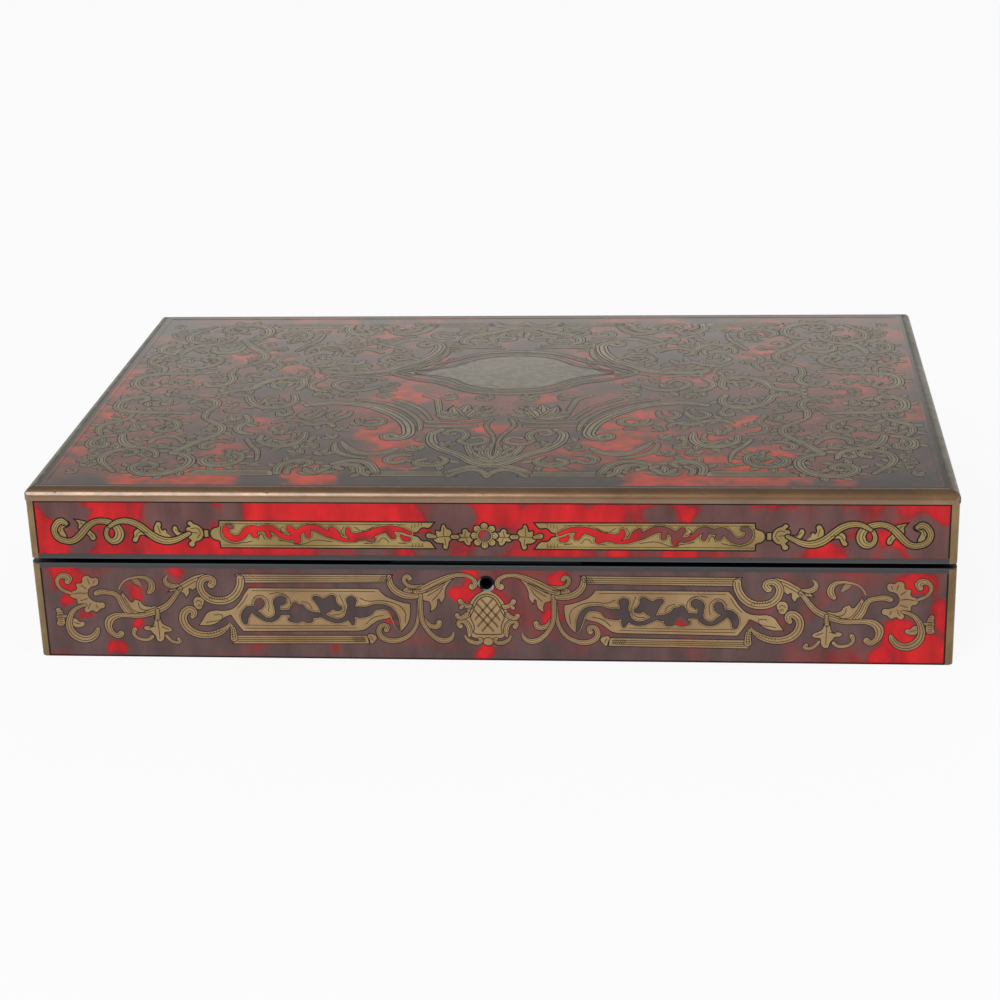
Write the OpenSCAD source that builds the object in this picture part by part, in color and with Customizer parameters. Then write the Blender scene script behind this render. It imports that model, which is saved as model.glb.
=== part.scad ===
// Games box: a shallow hinged box, veneered all over and edged with brass, with fitted counter boxes inside.
// Millimetres. The box stands on z = 0, its front faces -Y and its long side runs along X.

/* [Box] */
// Width of the box over its veneer
box_w = 320; // [280:1:360]
// Depth of the box over its veneer, from front to back
box_d = 210; // [180:1:240]
// Height of the base up to its rim
base_h = 36; // [34:0.5:46]
// Height of the lid from its rim to its top
lid_h = 26; // [23:0.5:36]
// Thickness of the wooden walls and rails
wall_t = 8; // [7.6:0.1:10]
// Thickness of the bottom board and of the lid's top board
board_t = 5; // [4.2:0.1:7]
// Depth of the veneer that covers the wood
veneer_t = 1; // [0.8:0.05:1.4]
// How far the marquetry lies below its brass and black edges
sheet_drop = 0.1; // [0.05:0.05:0.3]
// Thickness of the black caps along both rims
cap_t = 1.8; // [1.5:0.1:2.6]
// Open joint between two mitred lengths
mitre_gap = 0.06; // [0.03:0.01:0.2]

/* [Brass edges] */
// Width of a corner strip on each of its two faces
strip_w = 2.8; // [2.4:0.1:4]
// Radius of the upright corners
corner_r = 2.2; // [1.5:0.1:2.4]
// How far the base's corner strips stop below the rim
strip_drop = 0.5; // [0.2:0.1:1]
// Width of the moulding, from the face of the box inwards
mould_w = 3.6; // [3:0.1:5]
// Height of the moulding
mould_h = 4.4; // [3.4:0.1:5]
// Radius of the moulding's round edge
mould_r = 3.3; // [2:0.1:3.3]
// How far the moulding stands out from the face of the box
mould_proud = 0.3; // [0.15:0.05:0.6]
// Width of the black border round the top marquetry
border_w = 2.6; // [1.5:0.1:4]
// Radius of the pins that hold the moulding
mould_pin_r = 0.7; // [0.5:0.05:0.9]
// Length of a moulding pin
mould_pin_l = 6; // [5:0.1:6.4]
// Distance from a corner of the box to its nearest moulding pin
mould_pin_end = 11; // [8:0.5:16]
// Pins along the front and along the back
long_pins = 5; // [3:1:9]
// Pins along each side
side_pins = 4; // [2:1:6]

/* [Hinges] */
// Distance from the middle of the box to the middle of a hinge
hinge_x = 95; // [60:1:120]
// Length of a hinge
leaf_l = 30; // [26:1:40]
// Width of a hinge leaf, from the pin's axis to its inner edge
leaf_w = 7; // [6.4:0.1:8]
// Thickness of a hinge leaf
leaf_t = 1.2; // [1:0.05:1.4]
// How deep a leaf is let into the rim
leaf_let_in = 0.4; // [0.3:0.05:0.6]
// Radius of the hinge's barrel
knuckle_r = 1.7; // [1.5:0.05:1.9]
// Radius of the hinge pin
hinge_pin_r = 0.8; // [0.6:0.05:1]
// How far the pin's axis lies behind the back of the box
hinge_out = 0.6; // [0.4:0.05:1]
// Clearance round the hinge pin
run_gap = 0.05; // [0.02:0.01:0.1]
// Clearance between a barrel and what it turns in
knuckle_gap = 0.3; // [0.25:0.05:0.4]
// Distance between two screws of a hinge leaf
leaf_screw_pitch = 10; // [7:0.5:11]
// Distance from a leaf's inner edge to its screws
leaf_screw_edge = 2.4; // [2:0.1:2.6]

/* [Screws] */
// Radius of a screw's head
screw_head_r = 1.5; // [1.2:0.1:1.7]
// Height of a screw's countersunk head
screw_head_h = 0.8; // [0.5:0.05:0.9]
// Radius of a screw's shank
screw_r = 0.8; // [0.6:0.05:1]
// Length of a screw
screw_l = 6; // [5:0.5:10]
// Width of a screw's slot
screw_slot_w = 0.4; // [0.3:0.05:0.6]
// Depth of a screw's slot
screw_slot_d = 0.35; // [0.2:0.05:0.45]
// Clearance of a screw, a pin or a bush in its hole
fit_gap = 0.02; // [0.01:0.01:0.05]

/* [Lock] */
// Depth of the keyhole's centre below the base's rim
key_drop = 6.8; // [6:0.1:8]
// Radius of the keyhole
key_r = 2.1; // [1.6:0.05:2.4]
// Outer radius of the keyhole's bush
bush_r = 2.9; // [2.6:0.05:3.4]
// Width of the lock's case
lock_w = 52; // [48:0.5:58]
// Height of the lock's case below its top plate
lock_h = 19; // [17:0.5:22]
// Thickness of the lock's case
lock_t = 5.6; // [5:0.1:6]
// Thickness of the case's front and back plates
lock_plate_t = 0.7; // [0.5:0.05:0.8]
// Thickness of the case's sides and bottom
lock_side_t = 1; // [0.7:0.1:1.4]
// Clearance of the lock in its mortise
lock_fit = 0.1; // [0.05:0.05:0.2]
// How far the lock's top plate and the strike plate run past each end of the case, for their screws
plate_ear = 7; // [5:0.5:12]
// Width of the lock's top plate and of the strike plate
top_plate_w = 6.6; // [6:0.1:7]
// How deep those plates are let into the rims
top_plate_let_in = 0.4; // [0.3:0.05:0.6]
// Distance from the middle of the lock to each staple
staple_x = 12; // [11.5:0.1:14]
// Thickness of a staple, along the bolt's travel
staple_t = 1.6; // [1.2:0.1:2]
// Width of a staple
staple_w = 2.8; // [2.6:0.1:3]
// Length of a staple below the strike plate
staple_l = 7; // [6.5:0.1:7.5]
// Clearance of a staple in its slot
staple_gap = 0.5; // [0.4:0.05:0.6]
// Width of the window in a staple
window_w = 1.8; // [1.6:0.05:2]
// Height of the window in a staple
window_h = 3; // [2.4:0.1:3.4]
// Depth of the window's top edge below the strike plate
window_drop = 2.8; // [2.4:0.1:3]
// Travel of the bolt from open to locked
bolt_travel = 4; // [3:0.1:4.5]
// Height of the bolt's bar
bolt_h = 9; // [7:0.1:10]
// Thickness of the bolt's bar
bolt_t = 3; // [2:0.1:3.4]
// Thickness of the bolt's fingers
finger_t = 1.2; // [1:0.05:1.3]
// Width of the posts that carry the fingers
post_w = 3; // [2:0.1:3.5]
// Length of the bar beyond its last post
bolt_tail = 3; // [1:0.1:5]
// Clearance round the bolt
bolt_gap = 0.3; // [0.2:0.05:0.35]
// Length of the bolt's bow spring
spring_l = 18; // [12:0.5:22]
// Thickness of the spring's strip
spring_t = 0.5; // [0.3:0.05:0.7]

/* [Inside] */
// Thickness of the lining slips
liner_t = 1.6; // [1.2:0.1:2.4]
// Height of the lining's lip above the base's rim
lip_h = 4; // [2:0.1:6]
// Clearance between the lip and the lid
lip_gap = 0.5; // [0.4:0.05:0.8]
// Thickness of the veneer on the floor and under the lid
floor_t = 0.8; // [0.5:0.05:1.2]
// Thickness of the dividers
divider_t = 3; // [2:0.1:5]
// Height of the dividers
divider_h = 24; // [14:0.5:26]
// Clear width of each side bay
bay_w = 98; // [80:0.5:105]
// Clearance round a counter box
counter_gap = 0.8; // [0.4:0.1:1.5]
// Height of a counter box below its lid
counter_h = 20; // [12:0.5:24]
// Thickness of a counter box's walls and floor
counter_wall = 2.6; // [1.8:0.1:4]
// Thickness of a counter box's lid
counter_lid_t = 3; // [2:0.1:4.5]
// Depth of the plug under a counter box's lid
plug_h = 2; // [1:0.1:4]
// Clearance round that plug
plug_gap = 0.3; // [0.2:0.05:0.5]

/* [Hidden] */
$fn = 64;

over = 1;
SIDES = ["front", "right", "back", "left"];
half_w = box_w / 2;
half_d = box_d / 2;
least_corner_r = 0.2;
inner_corner_r = max(corner_r - veneer_t, least_corner_r);
inner_w = box_w - 2 * (veneer_t + wall_t);
inner_d = box_d - 2 * (veneer_t + wall_t);
clear_w = inner_w - 2 * liner_t;
clear_d = inner_d - 2 * liner_t;

// Heights, from the table up
rim_proud = leaf_t - leaf_let_in;
base_wall_top = base_h - cap_t;
strip_top = base_h - strip_drop;
mid_z = base_h + rim_proud;
lid_z = mid_z + rim_proud;
lid_rail_z = lid_z + cap_t;
top_z = lid_z + lid_h;
top_board_z = top_z - veneer_t - board_t;
mould_z = top_z - mould_h;
floor_z = board_t + floor_t;

// Lock
lock_y = wall_t / 2 + veneer_t - half_d;
plate_t = rim_proud + top_plate_let_in;
top_plate_l = lock_w + 2 * plate_ear;
plate_screw_x = (lock_w + plate_ear) / 2;
case_top = mid_z - plate_t;
case_bottom = case_top - lock_h;
key_z = base_h - key_drop;
lock_front_skin = veneer_t + (wall_t - lock_t) / 2 - lock_fit;
window_top = mid_z - window_drop;
window_bottom = window_top - window_h;
bar_top = mid_z - staple_l - bolt_gap;
bar_bottom = bar_top - bolt_h;
finger_back = staple_t / 2 + 2 * bolt_gap;
finger_l = bolt_travel + 2 * bolt_gap;
spring_z = case_bottom + lock_side_t;

// Inside
bay_x = (clear_w - bay_w) / 2;
divider_x = clear_w / 2 - bay_w - divider_t / 2;
middle_bay_w = clear_w - 2 * (bay_w + divider_t);
counter_w = bay_w - 2 * counter_gap;
counter_d = (clear_d - 3 * counter_gap) / 2;
counter_y = (counter_d + counter_gap) / 2;

// Moulding
mould_u = mould_w + mould_proud;
pin_axis_u = mould_u - mould_r;
pin_axis_v = mould_h - mould_r;

// The front and the back are the long sides
function is_long(side) = side == "front" || side == "back";
// Turn that brings the front to a side
function side_turn(side) = 90 * search([side], SIDES)[0];
// Length of a side, and the distance between that side and the one across from it
function side_length(side) = is_long(side) ? box_w : box_d;
function side_across(side) = is_long(side) ? box_d : box_w;

// Rectangle with round corners, in plan
module rounded_plan(w, d, r) {
    square([w - 2 * r, d], center = true);
    square([w, d - 2 * r], center = true);
    for (sx = [-1, 1], sy = [-1, 1])
        translate([sx * (w / 2 - r), sy * (d / 2 - r)])
            circle(r);
}

module box_plan() {
    rounded_plan(box_w, box_d, corner_r);
}

module wood_plan() {
    rounded_plan(box_w - 2 * veneer_t, box_d - 2 * veneer_t, inner_corner_r);
}

// The part of a w by d frame, m wide, that belongs to one side, with mitred ends
module mitred_plan(w, d, m, side) {
    length = (is_long(side) ? w : d) - mitre_gap * sqrt(2);
    across = is_long(side) ? d : w;
    rotate(side_turn(side))
        polygon([
            [-length / 2, -across / 2],
            [length / 2, -across / 2],
            [length / 2 - m, m - across / 2],
            [m - length / 2, m - across / 2]
        ]);
}

// The four corner strips, in plan
module strips_plan() {
    difference() {
        box_plan();
        wood_plan();
        square([box_w - 2 * strip_w, box_d + over], center = true);
        square([box_w + over, box_d - 2 * strip_w], center = true);
    }
}

module corner_strips(z1, z2) {
    color("darkgoldenrod")
        translate([0, 0, z1])
            linear_extrude(z2 - z1)
                strips_plan();
}

// Front (sy = -1) or back (sy = 1) board of the carcass
module long_board(sy, z, h) {
    translate([0, 0, z])
        linear_extrude(h)
            intersection() {
                wood_plan();
                translate([0, sy * (half_d - veneer_t - wall_t / 2)])
                    square([box_w, wall_t], center = true);
            }
}

// Left (sx = -1) or right (sx = 1) board of the carcass
module short_board(sx, z, h) {
    color("peru")
        translate([sx * (half_w - veneer_t - wall_t / 2), 0, z])
            linear_extrude(h)
                square([wall_t, inner_d], center = true);
}

// Marquetry sheet on one side of the box, between two corner strips
module side_sheet(side, z, h) {
    thickness = veneer_t - sheet_drop;
    color("firebrick")
        rotate(side_turn(side))
            translate([0, veneer_t - thickness / 2 - side_across(side) / 2, z + h / 2])
                cube([side_length(side) - 2 * strip_w, thickness, h], center = true);
}

// Four mitred black caps along a rim, notched for the corner strips that run from strip_z1 to strip_z2
module rim_caps(z, strip_z1, strip_z2) {
    difference() {
        translate([0, 0, z])
            linear_extrude(cap_t)
                for (side = SIDES)
                    intersection() {
                        box_plan();
                        mitred_plan(box_w, box_d, veneer_t + wall_t, side);
                    }
        corner_strips(strip_z1, strip_z2);
    }
}

// Countersunk screw that points down, with the top of its head at the origin
module screw_form(grow) {
    translate([0, 0, -screw_head_h])
        cylinder(h = screw_head_h, r1 = screw_r + grow, r2 = screw_head_r + grow);
    translate([0, 0, -screw_l - grow])
        cylinder(h = screw_l + grow, r = screw_r + grow);
}

module screw() {
    color("darkgoldenrod")
        difference() {
            screw_form(0);
            cube([2 * screw_head_r, screw_slot_w, 2 * screw_slot_d], center = true);
        }
}

// Puts its children at each hinge screw, up = 1 for the lid and -1 for the base
module at_hinge_screws(up) {
    for (sx = [-1, 1], i = [-1 : 1])
        translate([sx * hinge_x + i * leaf_screw_pitch, half_d + hinge_out - leaf_w + leaf_screw_edge, mid_z])
            mirror([0, 0, up > 0 ? 1 : 0])
                children();
}

// Puts its children at each screw of the lock's plates, up = 1 for the lid and -1 for the base
module at_plate_screws(up) {
    for (sx = [-1, 1])
        translate([sx * plate_screw_x, lock_y, mid_z])
            mirror([0, 0, up > 0 ? 1 : 0])
                children();
}

// Cylinder along X on the hinge axis
module on_axis(length, r) {
    rotate([0, 90, 0])
        cylinder(h = length, r = r, center = true);
}

module at_hinge(sx) {
    translate([sx * hinge_x, half_d + hinge_out, mid_z])
        children();
}

// Plate of a hinge leaf, on one side of the parting plane
module leaf_plate(up) {
    translate([-leaf_l / 2, -leaf_w, up > 0 ? 0 : -leaf_t])
        cube([leaf_l, leaf_w, leaf_t]);
}

// Barrel pieces of one leaf: the middle third for the lid, the outer thirds for the base
module knuckles(up, r, grow) {
    third = leaf_l / 3;
    if (up > 0)
        on_axis(third - 2 * knuckle_gap + 2 * grow, r);
    else
        for (s = [-1, 1])
            translate([s * third, 0, 0])
                on_axis(third + 2 * grow, r);
}

module hinge_leaf(sx, up) {
    color("darkgoldenrod")
        difference() {
            at_hinge(sx)
                difference() {
                    union() {
                        difference() {
                            leaf_plate(up);
                            knuckles(-up, knuckle_r + knuckle_gap, knuckle_gap);
                        }
                        knuckles(up, knuckle_r, 0);
                    }
                    on_axis(leaf_l + over, hinge_pin_r + run_gap);
                }
            at_hinge_screws(up)
                screw_form(fit_gap);
        }
}

module hinge_pin(sx) {
    color("gold")
        at_hinge(sx)
            on_axis(leaf_l, hinge_pin_r);
}

// Room for both hinges in a rim
module hinge_seats(up) {
    for (sx = [-1, 1])
        at_hinge(sx) {
            leaf_plate(up);
            on_axis(leaf_l + 2 * knuckle_gap, knuckle_r + knuckle_gap);
        }
}

// Lock's top plate or the strike plate, without holes
module rim_plate(up) {
    translate([0, lock_y, mid_z + up * plate_t / 2])
        cube([top_plate_l, top_plate_w, plate_t], center = true);
}

// Block across the thickness of the lock, from z1 to z2 and from x1 to x2
module lock_block(x1, x2, z1, z2, thickness) {
    translate([x1, lock_y - thickness / 2, z1])
        cube([x2 - x1, thickness, z2 - z1]);
}

module staple_blocks(grow, depth) {
    for (sx = [-1, 1])
        lock_block(
            sx * staple_x - staple_t / 2 - grow, sx * staple_x + staple_t / 2 + grow,
            mid_z - depth, mid_z, staple_w + 2 * grow
        );
}

// Cylinder along Y on the keyhole's axis, from the box's face to the depth given
module on_key_axis(r, y1, y2) {
    translate([0, y1 - half_d, key_z])
        rotate([-90, 0, 0])
            cylinder(h = y2 - y1, r = r);
}

// Section of the moulding: u points out of the box and v points up
module mould_section() {
    intersection() {
        square([mould_u, mould_h]);
        union() {
            square([pin_axis_u, mould_h]);
            square([mould_u, pin_axis_v]);
            translate([pin_axis_u, pin_axis_v])
                circle(mould_r);
        }
    }
}

// Puts its children at the inner lower edge of one side's moulding, with +Y pointing out of the box
module at_moulding(side) {
    rotate(side_turn(side) + 180)
        translate([0, side_across(side) / 2 - mould_w, mould_z])
            children();
}

module mould_pin_forms(side, grow) {
    count = is_long(side) ? long_pins : side_pins;
    reach = side_length(side) / 2 - mould_pin_end;
    for (i = [0 : count - 1])
        at_moulding(side)
            translate([reach * (2 * i / (count - 1) - 1), pin_axis_u, pin_axis_v])
                rotate([-45, 0, 0])
                    translate([0, 0, mould_r - mould_pin_l - grow])
                        cylinder(h = mould_pin_l + 2 * grow, r = mould_pin_r + grow);
}

module moulding(side) {
    outer_w = box_w + 2 * mould_proud;
    outer_d = box_d + 2 * mould_proud;
    color("goldenrod")
        difference() {
            intersection() {
                at_moulding(side)
                    rotate([90, 0, 90])
                        linear_extrude(side_length(side) + 2 * mould_proud, center = true)
                            mould_section();
                translate([0, 0, mould_z - over])
                    linear_extrude(mould_h + 2 * over)
                        intersection() {
                            rounded_plan(outer_w, outer_d, corner_r + mould_proud);
                            mitred_plan(outer_w, outer_d, mould_u, side);
                        }
            }
            mould_pin_forms(side, fit_gap);
        }
}

module base_bottom_board() {
    color("peru")
        translate([0, 0, board_t / 2])
            cube([inner_w, inner_d, board_t], center = true);
}

module base_front_wall() {
    color("peru")
        difference() {
            long_board(-1, 0, base_wall_top);
            lock_block(
                -lock_w / 2 - lock_fit, lock_w / 2 + lock_fit,
                case_bottom - lock_fit, base_h, lock_t + 2 * lock_fit
            );
            on_key_axis(bush_r + fit_gap, 0, lock_front_skin + lock_fit);
            at_plate_screws(-1)
                screw_form(fit_gap);
        }
}

module base_back_wall() {
    color("peru")
        difference() {
            long_board(1, 0, base_wall_top);
            at_hinge_screws(-1)
                screw_form(fit_gap);
        }
}

module base_left_wall() {
    short_board(-1, 0, base_wall_top);
}

module base_right_wall() {
    short_board(1, 0, base_wall_top);
}

module base_front_marquetry() {
    color("firebrick")
        difference() {
            side_sheet("front", 0, base_wall_top);
            on_key_axis(bush_r + fit_gap, -over, lock_front_skin);
        }
}

module base_back_marquetry() {
    side_sheet("back", 0, base_wall_top);
}

module base_left_marquetry() {
    side_sheet("left", 0, base_wall_top);
}

module base_right_marquetry() {
    side_sheet("right", 0, base_wall_top);
}

module base_rim_caps() {
    color("dimgray")
        difference() {
            rim_caps(base_wall_top, 0, strip_top);
            hinge_seats(-1);
            rim_plate(-1);
            lock_block(
                -lock_w / 2 - lock_fit, lock_w / 2 + lock_fit,
                case_bottom, base_h, lock_t + 2 * lock_fit
            );
            at_hinge_screws(-1)
                screw_form(fit_gap);
            at_plate_screws(-1)
                screw_form(fit_gap);
        }
}

module base_corner_strips() {
    corner_strips(0, strip_top);
}

// Lining slips inside the walls, whose lip stands up into the lid
module base_liner_slips() {
    color("saddlebrown")
        difference() {
            translate([0, 0, board_t])
                linear_extrude(base_h + lip_h - board_t)
                    for (side = SIDES)
                        mitred_plan(inner_w, inner_d, liner_t, side);
            translate([0, 0, base_h])
                linear_extrude(lip_h + over)
                    difference() {
                        square([inner_w + over, inner_d + over], center = true);
                        square([inner_w - 2 * lip_gap, inner_d - 2 * lip_gap], center = true);
                    }
        }
}

module base_floor_veneer() {
    color("saddlebrown")
        translate([0, 0, board_t + floor_t / 2])
            cube([clear_w, clear_d, floor_t], center = true);
}

module long_divider(sx) {
    color("saddlebrown")
        translate([sx * divider_x, 0, floor_z + divider_h / 2])
            cube([divider_t, clear_d, divider_h], center = true);
}

module base_divider_left() {
    long_divider(-1);
}

module base_divider_right() {
    long_divider(1);
}

module base_divider_cross() {
    color("saddlebrown")
        translate([0, 0, floor_z + divider_h / 2])
            cube([middle_bay_w, divider_t, divider_h], center = true);
}

module counter_box(sx, sy) {
    hollow_w = counter_w - 2 * counter_wall;
    hollow_d = counter_d - 2 * counter_wall;
    color("brown")
        translate([sx * bay_x, sy * counter_y, floor_z])
            difference() {
                translate([0, 0, counter_h / 2])
                    cube([counter_w, counter_d, counter_h], center = true);
                translate([0, 0, counter_wall + counter_h / 2])
                    cube([hollow_w, hollow_d, counter_h], center = true);
            }
}

module counter_lid(sx, sy) {
    inset = 2 * (counter_wall + plug_gap);
    color("firebrick")
        translate([sx * bay_x, sy * counter_y, floor_z + counter_h]) {
            translate([0, 0, counter_lid_t / 2])
                cube([counter_w, counter_d, counter_lid_t], center = true);
            translate([0, 0, -plug_h / 2])
                cube([counter_w - inset, counter_d - inset, plug_h], center = true);
        }
}

module counter_box_front_left() {
    counter_box(-1, -1);
}

module counter_box_back_left() {
    counter_box(-1, 1);
}

module counter_box_front_right() {
    counter_box(1, -1);
}

module counter_box_back_right() {
    counter_box(1, 1);
}

module counter_lid_front_left() {
    counter_lid(-1, -1);
}

module counter_lid_back_left() {
    counter_lid(-1, 1);
}

module counter_lid_front_right() {
    counter_lid(1, -1);
}

module counter_lid_back_right() {
    counter_lid(1, 1);
}

module hinge_base_leaf_left() {
    hinge_leaf(-1, -1);
}

module hinge_base_leaf_right() {
    hinge_leaf(1, -1);
}

module hinge_lid_leaf_left() {
    hinge_leaf(-1, 1);
}

module hinge_lid_leaf_right() {
    hinge_leaf(1, 1);
}

module hinge_pin_left() {
    hinge_pin(-1);
}

module hinge_pin_right() {
    hinge_pin(1);
}

module hinge_base_screws() {
    at_hinge_screws(-1)
        screw();
}

module hinge_lid_screws() {
    at_hinge_screws(1)
        screw();
}

// Open-backed case of the lock, with the slotted plate that closes its top
module lock_case() {
    wall_y = lock_y - lock_plate_t / 2;
    wall_d = lock_t - lock_plate_t;
    color("silver")
        difference() {
            union() {
                rim_plate(-1);
                difference() {
                    translate([-lock_w / 2, wall_y - wall_d / 2, case_bottom])
                        cube([lock_w, wall_d, lock_h]);
                    translate([lock_side_t - lock_w / 2, wall_y - wall_d / 2 + lock_plate_t, spring_z])
                        cube([lock_w - 2 * lock_side_t, wall_d, lock_h]);
                }
            }
            staple_blocks(staple_gap, plate_t + over);
            on_key_axis(key_r, 0, veneer_t + wall_t / 2);
            at_plate_screws(-1)
                screw_form(fit_gap);
        }
}

module lock_back_plate() {
    color("silver")
        translate([-lock_w / 2, lock_y + lock_t / 2 - lock_plate_t, case_bottom])
            cube([lock_w, lock_plate_t, lock_h]);
}

// Bow spring that presses up on the bolt
module lock_spring() {
    rise = bar_bottom - bolt_gap;
    color("silver")
        translate([0, lock_y, 0])
            rotate([90, 0, 0])
                linear_extrude(bolt_t, center = true)
                    polygon([
                        [-spring_l / 2, spring_z],
                        [0, rise - spring_t],
                        [spring_l / 2, spring_z],
                        [spring_l / 2, spring_z + spring_t],
                        [0, rise],
                        [-spring_l / 2, spring_z + spring_t]
                    ]);
}

module lock_screws() {
    at_plate_screws(-1)
        screw();
}

module strike_screws() {
    at_plate_screws(1)
        screw();
}

// Brass ring that lines the keyhole
module keyhole_bush() {
    color("goldenrod")
        difference() {
            on_key_axis(bush_r, 0, lock_front_skin);
            on_key_axis(key_r, -over, lock_front_skin + over);
        }
}

// Sliding bolt with two fingers that catch the staples, notched for the key
module lock_bolt() {
    finger_z1 = window_bottom + bolt_gap;
    finger_z2 = window_top - bolt_gap;
    first_post = -staple_x - finger_back - finger_l - post_w;
    last_post = staple_x - finger_back - finger_l;
    color("gray")
        difference() {
            union() {
                lock_block(first_post, last_post + bolt_tail, bar_bottom, bar_top, bolt_t);
                for (sx = [-1, 1]) {
                    tip = sx * staple_x - finger_back;
                    lock_block(tip - finger_l - post_w, tip - finger_l, bar_top, finger_z2, finger_t);
                    lock_block(tip - finger_l, tip, finger_z1, finger_z2, finger_t);
                }
            }
            lock_block(
                -key_r - bolt_gap - bolt_travel, key_r + bolt_gap,
                key_z - key_r - bolt_gap, mid_z, bolt_t + over
            );
        }
}

// Top board of the lid, rebated round its edge for the moulding
module lid_top_board() {
    color("peru")
        difference() {
            union() {
                translate([0, 0, top_board_z])
                    linear_extrude(mould_z - top_board_z)
                        wood_plan();
                translate([0, 0, top_board_z])
                    linear_extrude(board_t)
                        square([box_w - 2 * mould_w, box_d - 2 * mould_w], center = true);
            }
            for (side = SIDES)
                mould_pin_forms(side, fit_gap);
        }
}

module lid_front_rail() {
    color("peru")
        difference() {
            long_board(-1, lid_rail_z, top_board_z - lid_rail_z);
            at_plate_screws(1)
                screw_form(fit_gap);
        }
}

module lid_back_rail() {
    color("peru")
        difference() {
            long_board(1, lid_rail_z, top_board_z - lid_rail_z);
            at_hinge_screws(1)
                screw_form(fit_gap);
        }
}

module lid_left_rail() {
    short_board(-1, lid_rail_z, top_board_z - lid_rail_z);
}

module lid_right_rail() {
    short_board(1, lid_rail_z, top_board_z - lid_rail_z);
}

module lid_top_marquetry() {
    color("firebrick")
        translate([0, 0, top_z - veneer_t])
            linear_extrude(veneer_t - sheet_drop)
                square([box_w - 2 * (mould_w + border_w), box_d - 2 * (mould_w + border_w)], center = true);
}

module lid_front_marquetry() {
    side_sheet("front", lid_rail_z, mould_z - lid_rail_z);
}

module lid_back_marquetry() {
    side_sheet("back", lid_rail_z, mould_z - lid_rail_z);
}

module lid_left_marquetry() {
    side_sheet("left", lid_rail_z, mould_z - lid_rail_z);
}

module lid_right_marquetry() {
    side_sheet("right", lid_rail_z, mould_z - lid_rail_z);
}

module lid_top_border() {
    color("dimgray")
        translate([0, 0, top_z - veneer_t])
            linear_extrude(veneer_t)
                for (side = SIDES)
                    mitred_plan(box_w - 2 * mould_w, box_d - 2 * mould_w, border_w, side);
}

module lid_rim_caps() {
    color("dimgray")
        difference() {
            rim_caps(lid_z, lid_z, mould_z);
            hinge_seats(1);
            rim_plate(1);
            at_hinge_screws(1)
                screw_form(fit_gap);
            at_plate_screws(1)
                screw_form(fit_gap);
        }
}

module lid_corner_strips() {
    corner_strips(lid_z, mould_z);
}

module lid_moulding_front() {
    moulding("front");
}

module lid_moulding_back() {
    moulding("back");
}

module lid_moulding_left() {
    moulding("left");
}

module lid_moulding_right() {
    moulding("right");
}

module moulding_pins() {
    color("gold")
        for (side = SIDES)
            mould_pin_forms(side, 0);
}

module lid_ceiling_veneer() {
    color("saddlebrown")
        translate([0, 0, top_board_z - floor_t / 2])
            cube([inner_w, inner_d, floor_t], center = true);
}

// Plate under the lid's front rim, with two windowed staples that drop into the lock
module strike_plate() {
    color("silver")
        difference() {
            union() {
                rim_plate(1);
                staple_blocks(0, staple_l);
            }
            lock_block(-lock_w / 2, lock_w / 2, window_bottom, window_top, window_w);
            at_plate_screws(1)
                screw_form(fit_gap);
        }
}

base_bottom_board();
base_front_wall();
base_back_wall();
base_left_wall();
base_right_wall();
base_front_marquetry();
base_back_marquetry();
base_left_marquetry();
base_right_marquetry();
base_rim_caps();
base_corner_strips();
base_liner_slips();
base_floor_veneer();
base_divider_left();
base_divider_right();
base_divider_cross();
counter_box_front_left();
counter_box_back_left();
counter_box_front_right();
counter_box_back_right();
counter_lid_front_left();
counter_lid_back_left();
counter_lid_front_right();
counter_lid_back_right();
hinge_base_leaf_left();
hinge_base_leaf_right();
hinge_pin_left();
hinge_pin_right();
hinge_base_screws();
lock_case();
lock_back_plate();
lock_spring();
lock_screws();
keyhole_bush();
lock_bolt();
lid_top_board();
lid_front_rail();
lid_back_rail();
lid_left_rail();
lid_right_rail();
lid_top_marquetry();
lid_front_marquetry();
lid_back_marquetry();
lid_left_marquetry();
lid_right_marquetry();
lid_top_border();
lid_rim_caps();
lid_corner_strips();
lid_moulding_front();
lid_moulding_back();
lid_moulding_left();
lid_moulding_right();
moulding_pins();
lid_ceiling_veneer();
hinge_lid_leaf_left();
hinge_lid_leaf_right();
hinge_lid_screws();
strike_plate();
strike_screws();
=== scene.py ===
# %% [markdown]
# # A games box in red shell and brass
# The box is a wooden carcass covered with thin sheets of red-backed tortoiseshell, and brass scrollwork is
# let into the shell. A quarter-round brass moulding runs round the lid and brass strips guard the corners.
# The solids come ready made in one frame, so this lesson adds what solids can't carry: the marquetry and the
# finishes.

from math import atan2, cos, degrees, pi, radians, sin, sqrt

import bmesh
import bpy
from mathutils import Matrix, Vector


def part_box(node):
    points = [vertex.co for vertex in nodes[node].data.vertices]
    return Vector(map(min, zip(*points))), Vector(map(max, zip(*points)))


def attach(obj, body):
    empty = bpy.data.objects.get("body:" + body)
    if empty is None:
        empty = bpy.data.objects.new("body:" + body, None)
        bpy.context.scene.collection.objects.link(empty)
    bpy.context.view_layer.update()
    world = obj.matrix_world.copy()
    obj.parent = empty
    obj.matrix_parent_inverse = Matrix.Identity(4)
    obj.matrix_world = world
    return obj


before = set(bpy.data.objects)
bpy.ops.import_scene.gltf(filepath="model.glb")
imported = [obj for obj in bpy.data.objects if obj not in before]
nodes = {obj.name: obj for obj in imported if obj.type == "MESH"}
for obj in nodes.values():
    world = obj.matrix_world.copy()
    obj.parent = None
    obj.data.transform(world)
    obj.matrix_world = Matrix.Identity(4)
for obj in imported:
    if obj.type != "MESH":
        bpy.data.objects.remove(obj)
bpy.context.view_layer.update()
MM = 0.001

# %% [markdown]
# ## The camera
# A camera can be placed by eye or worked out from the box's own corners. Here it was fitted to the corners,
# so it is written as a place, three turns and a lens. It stands in front of the box, a little to the right,
# and looks down by about twenty degrees.

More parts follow.
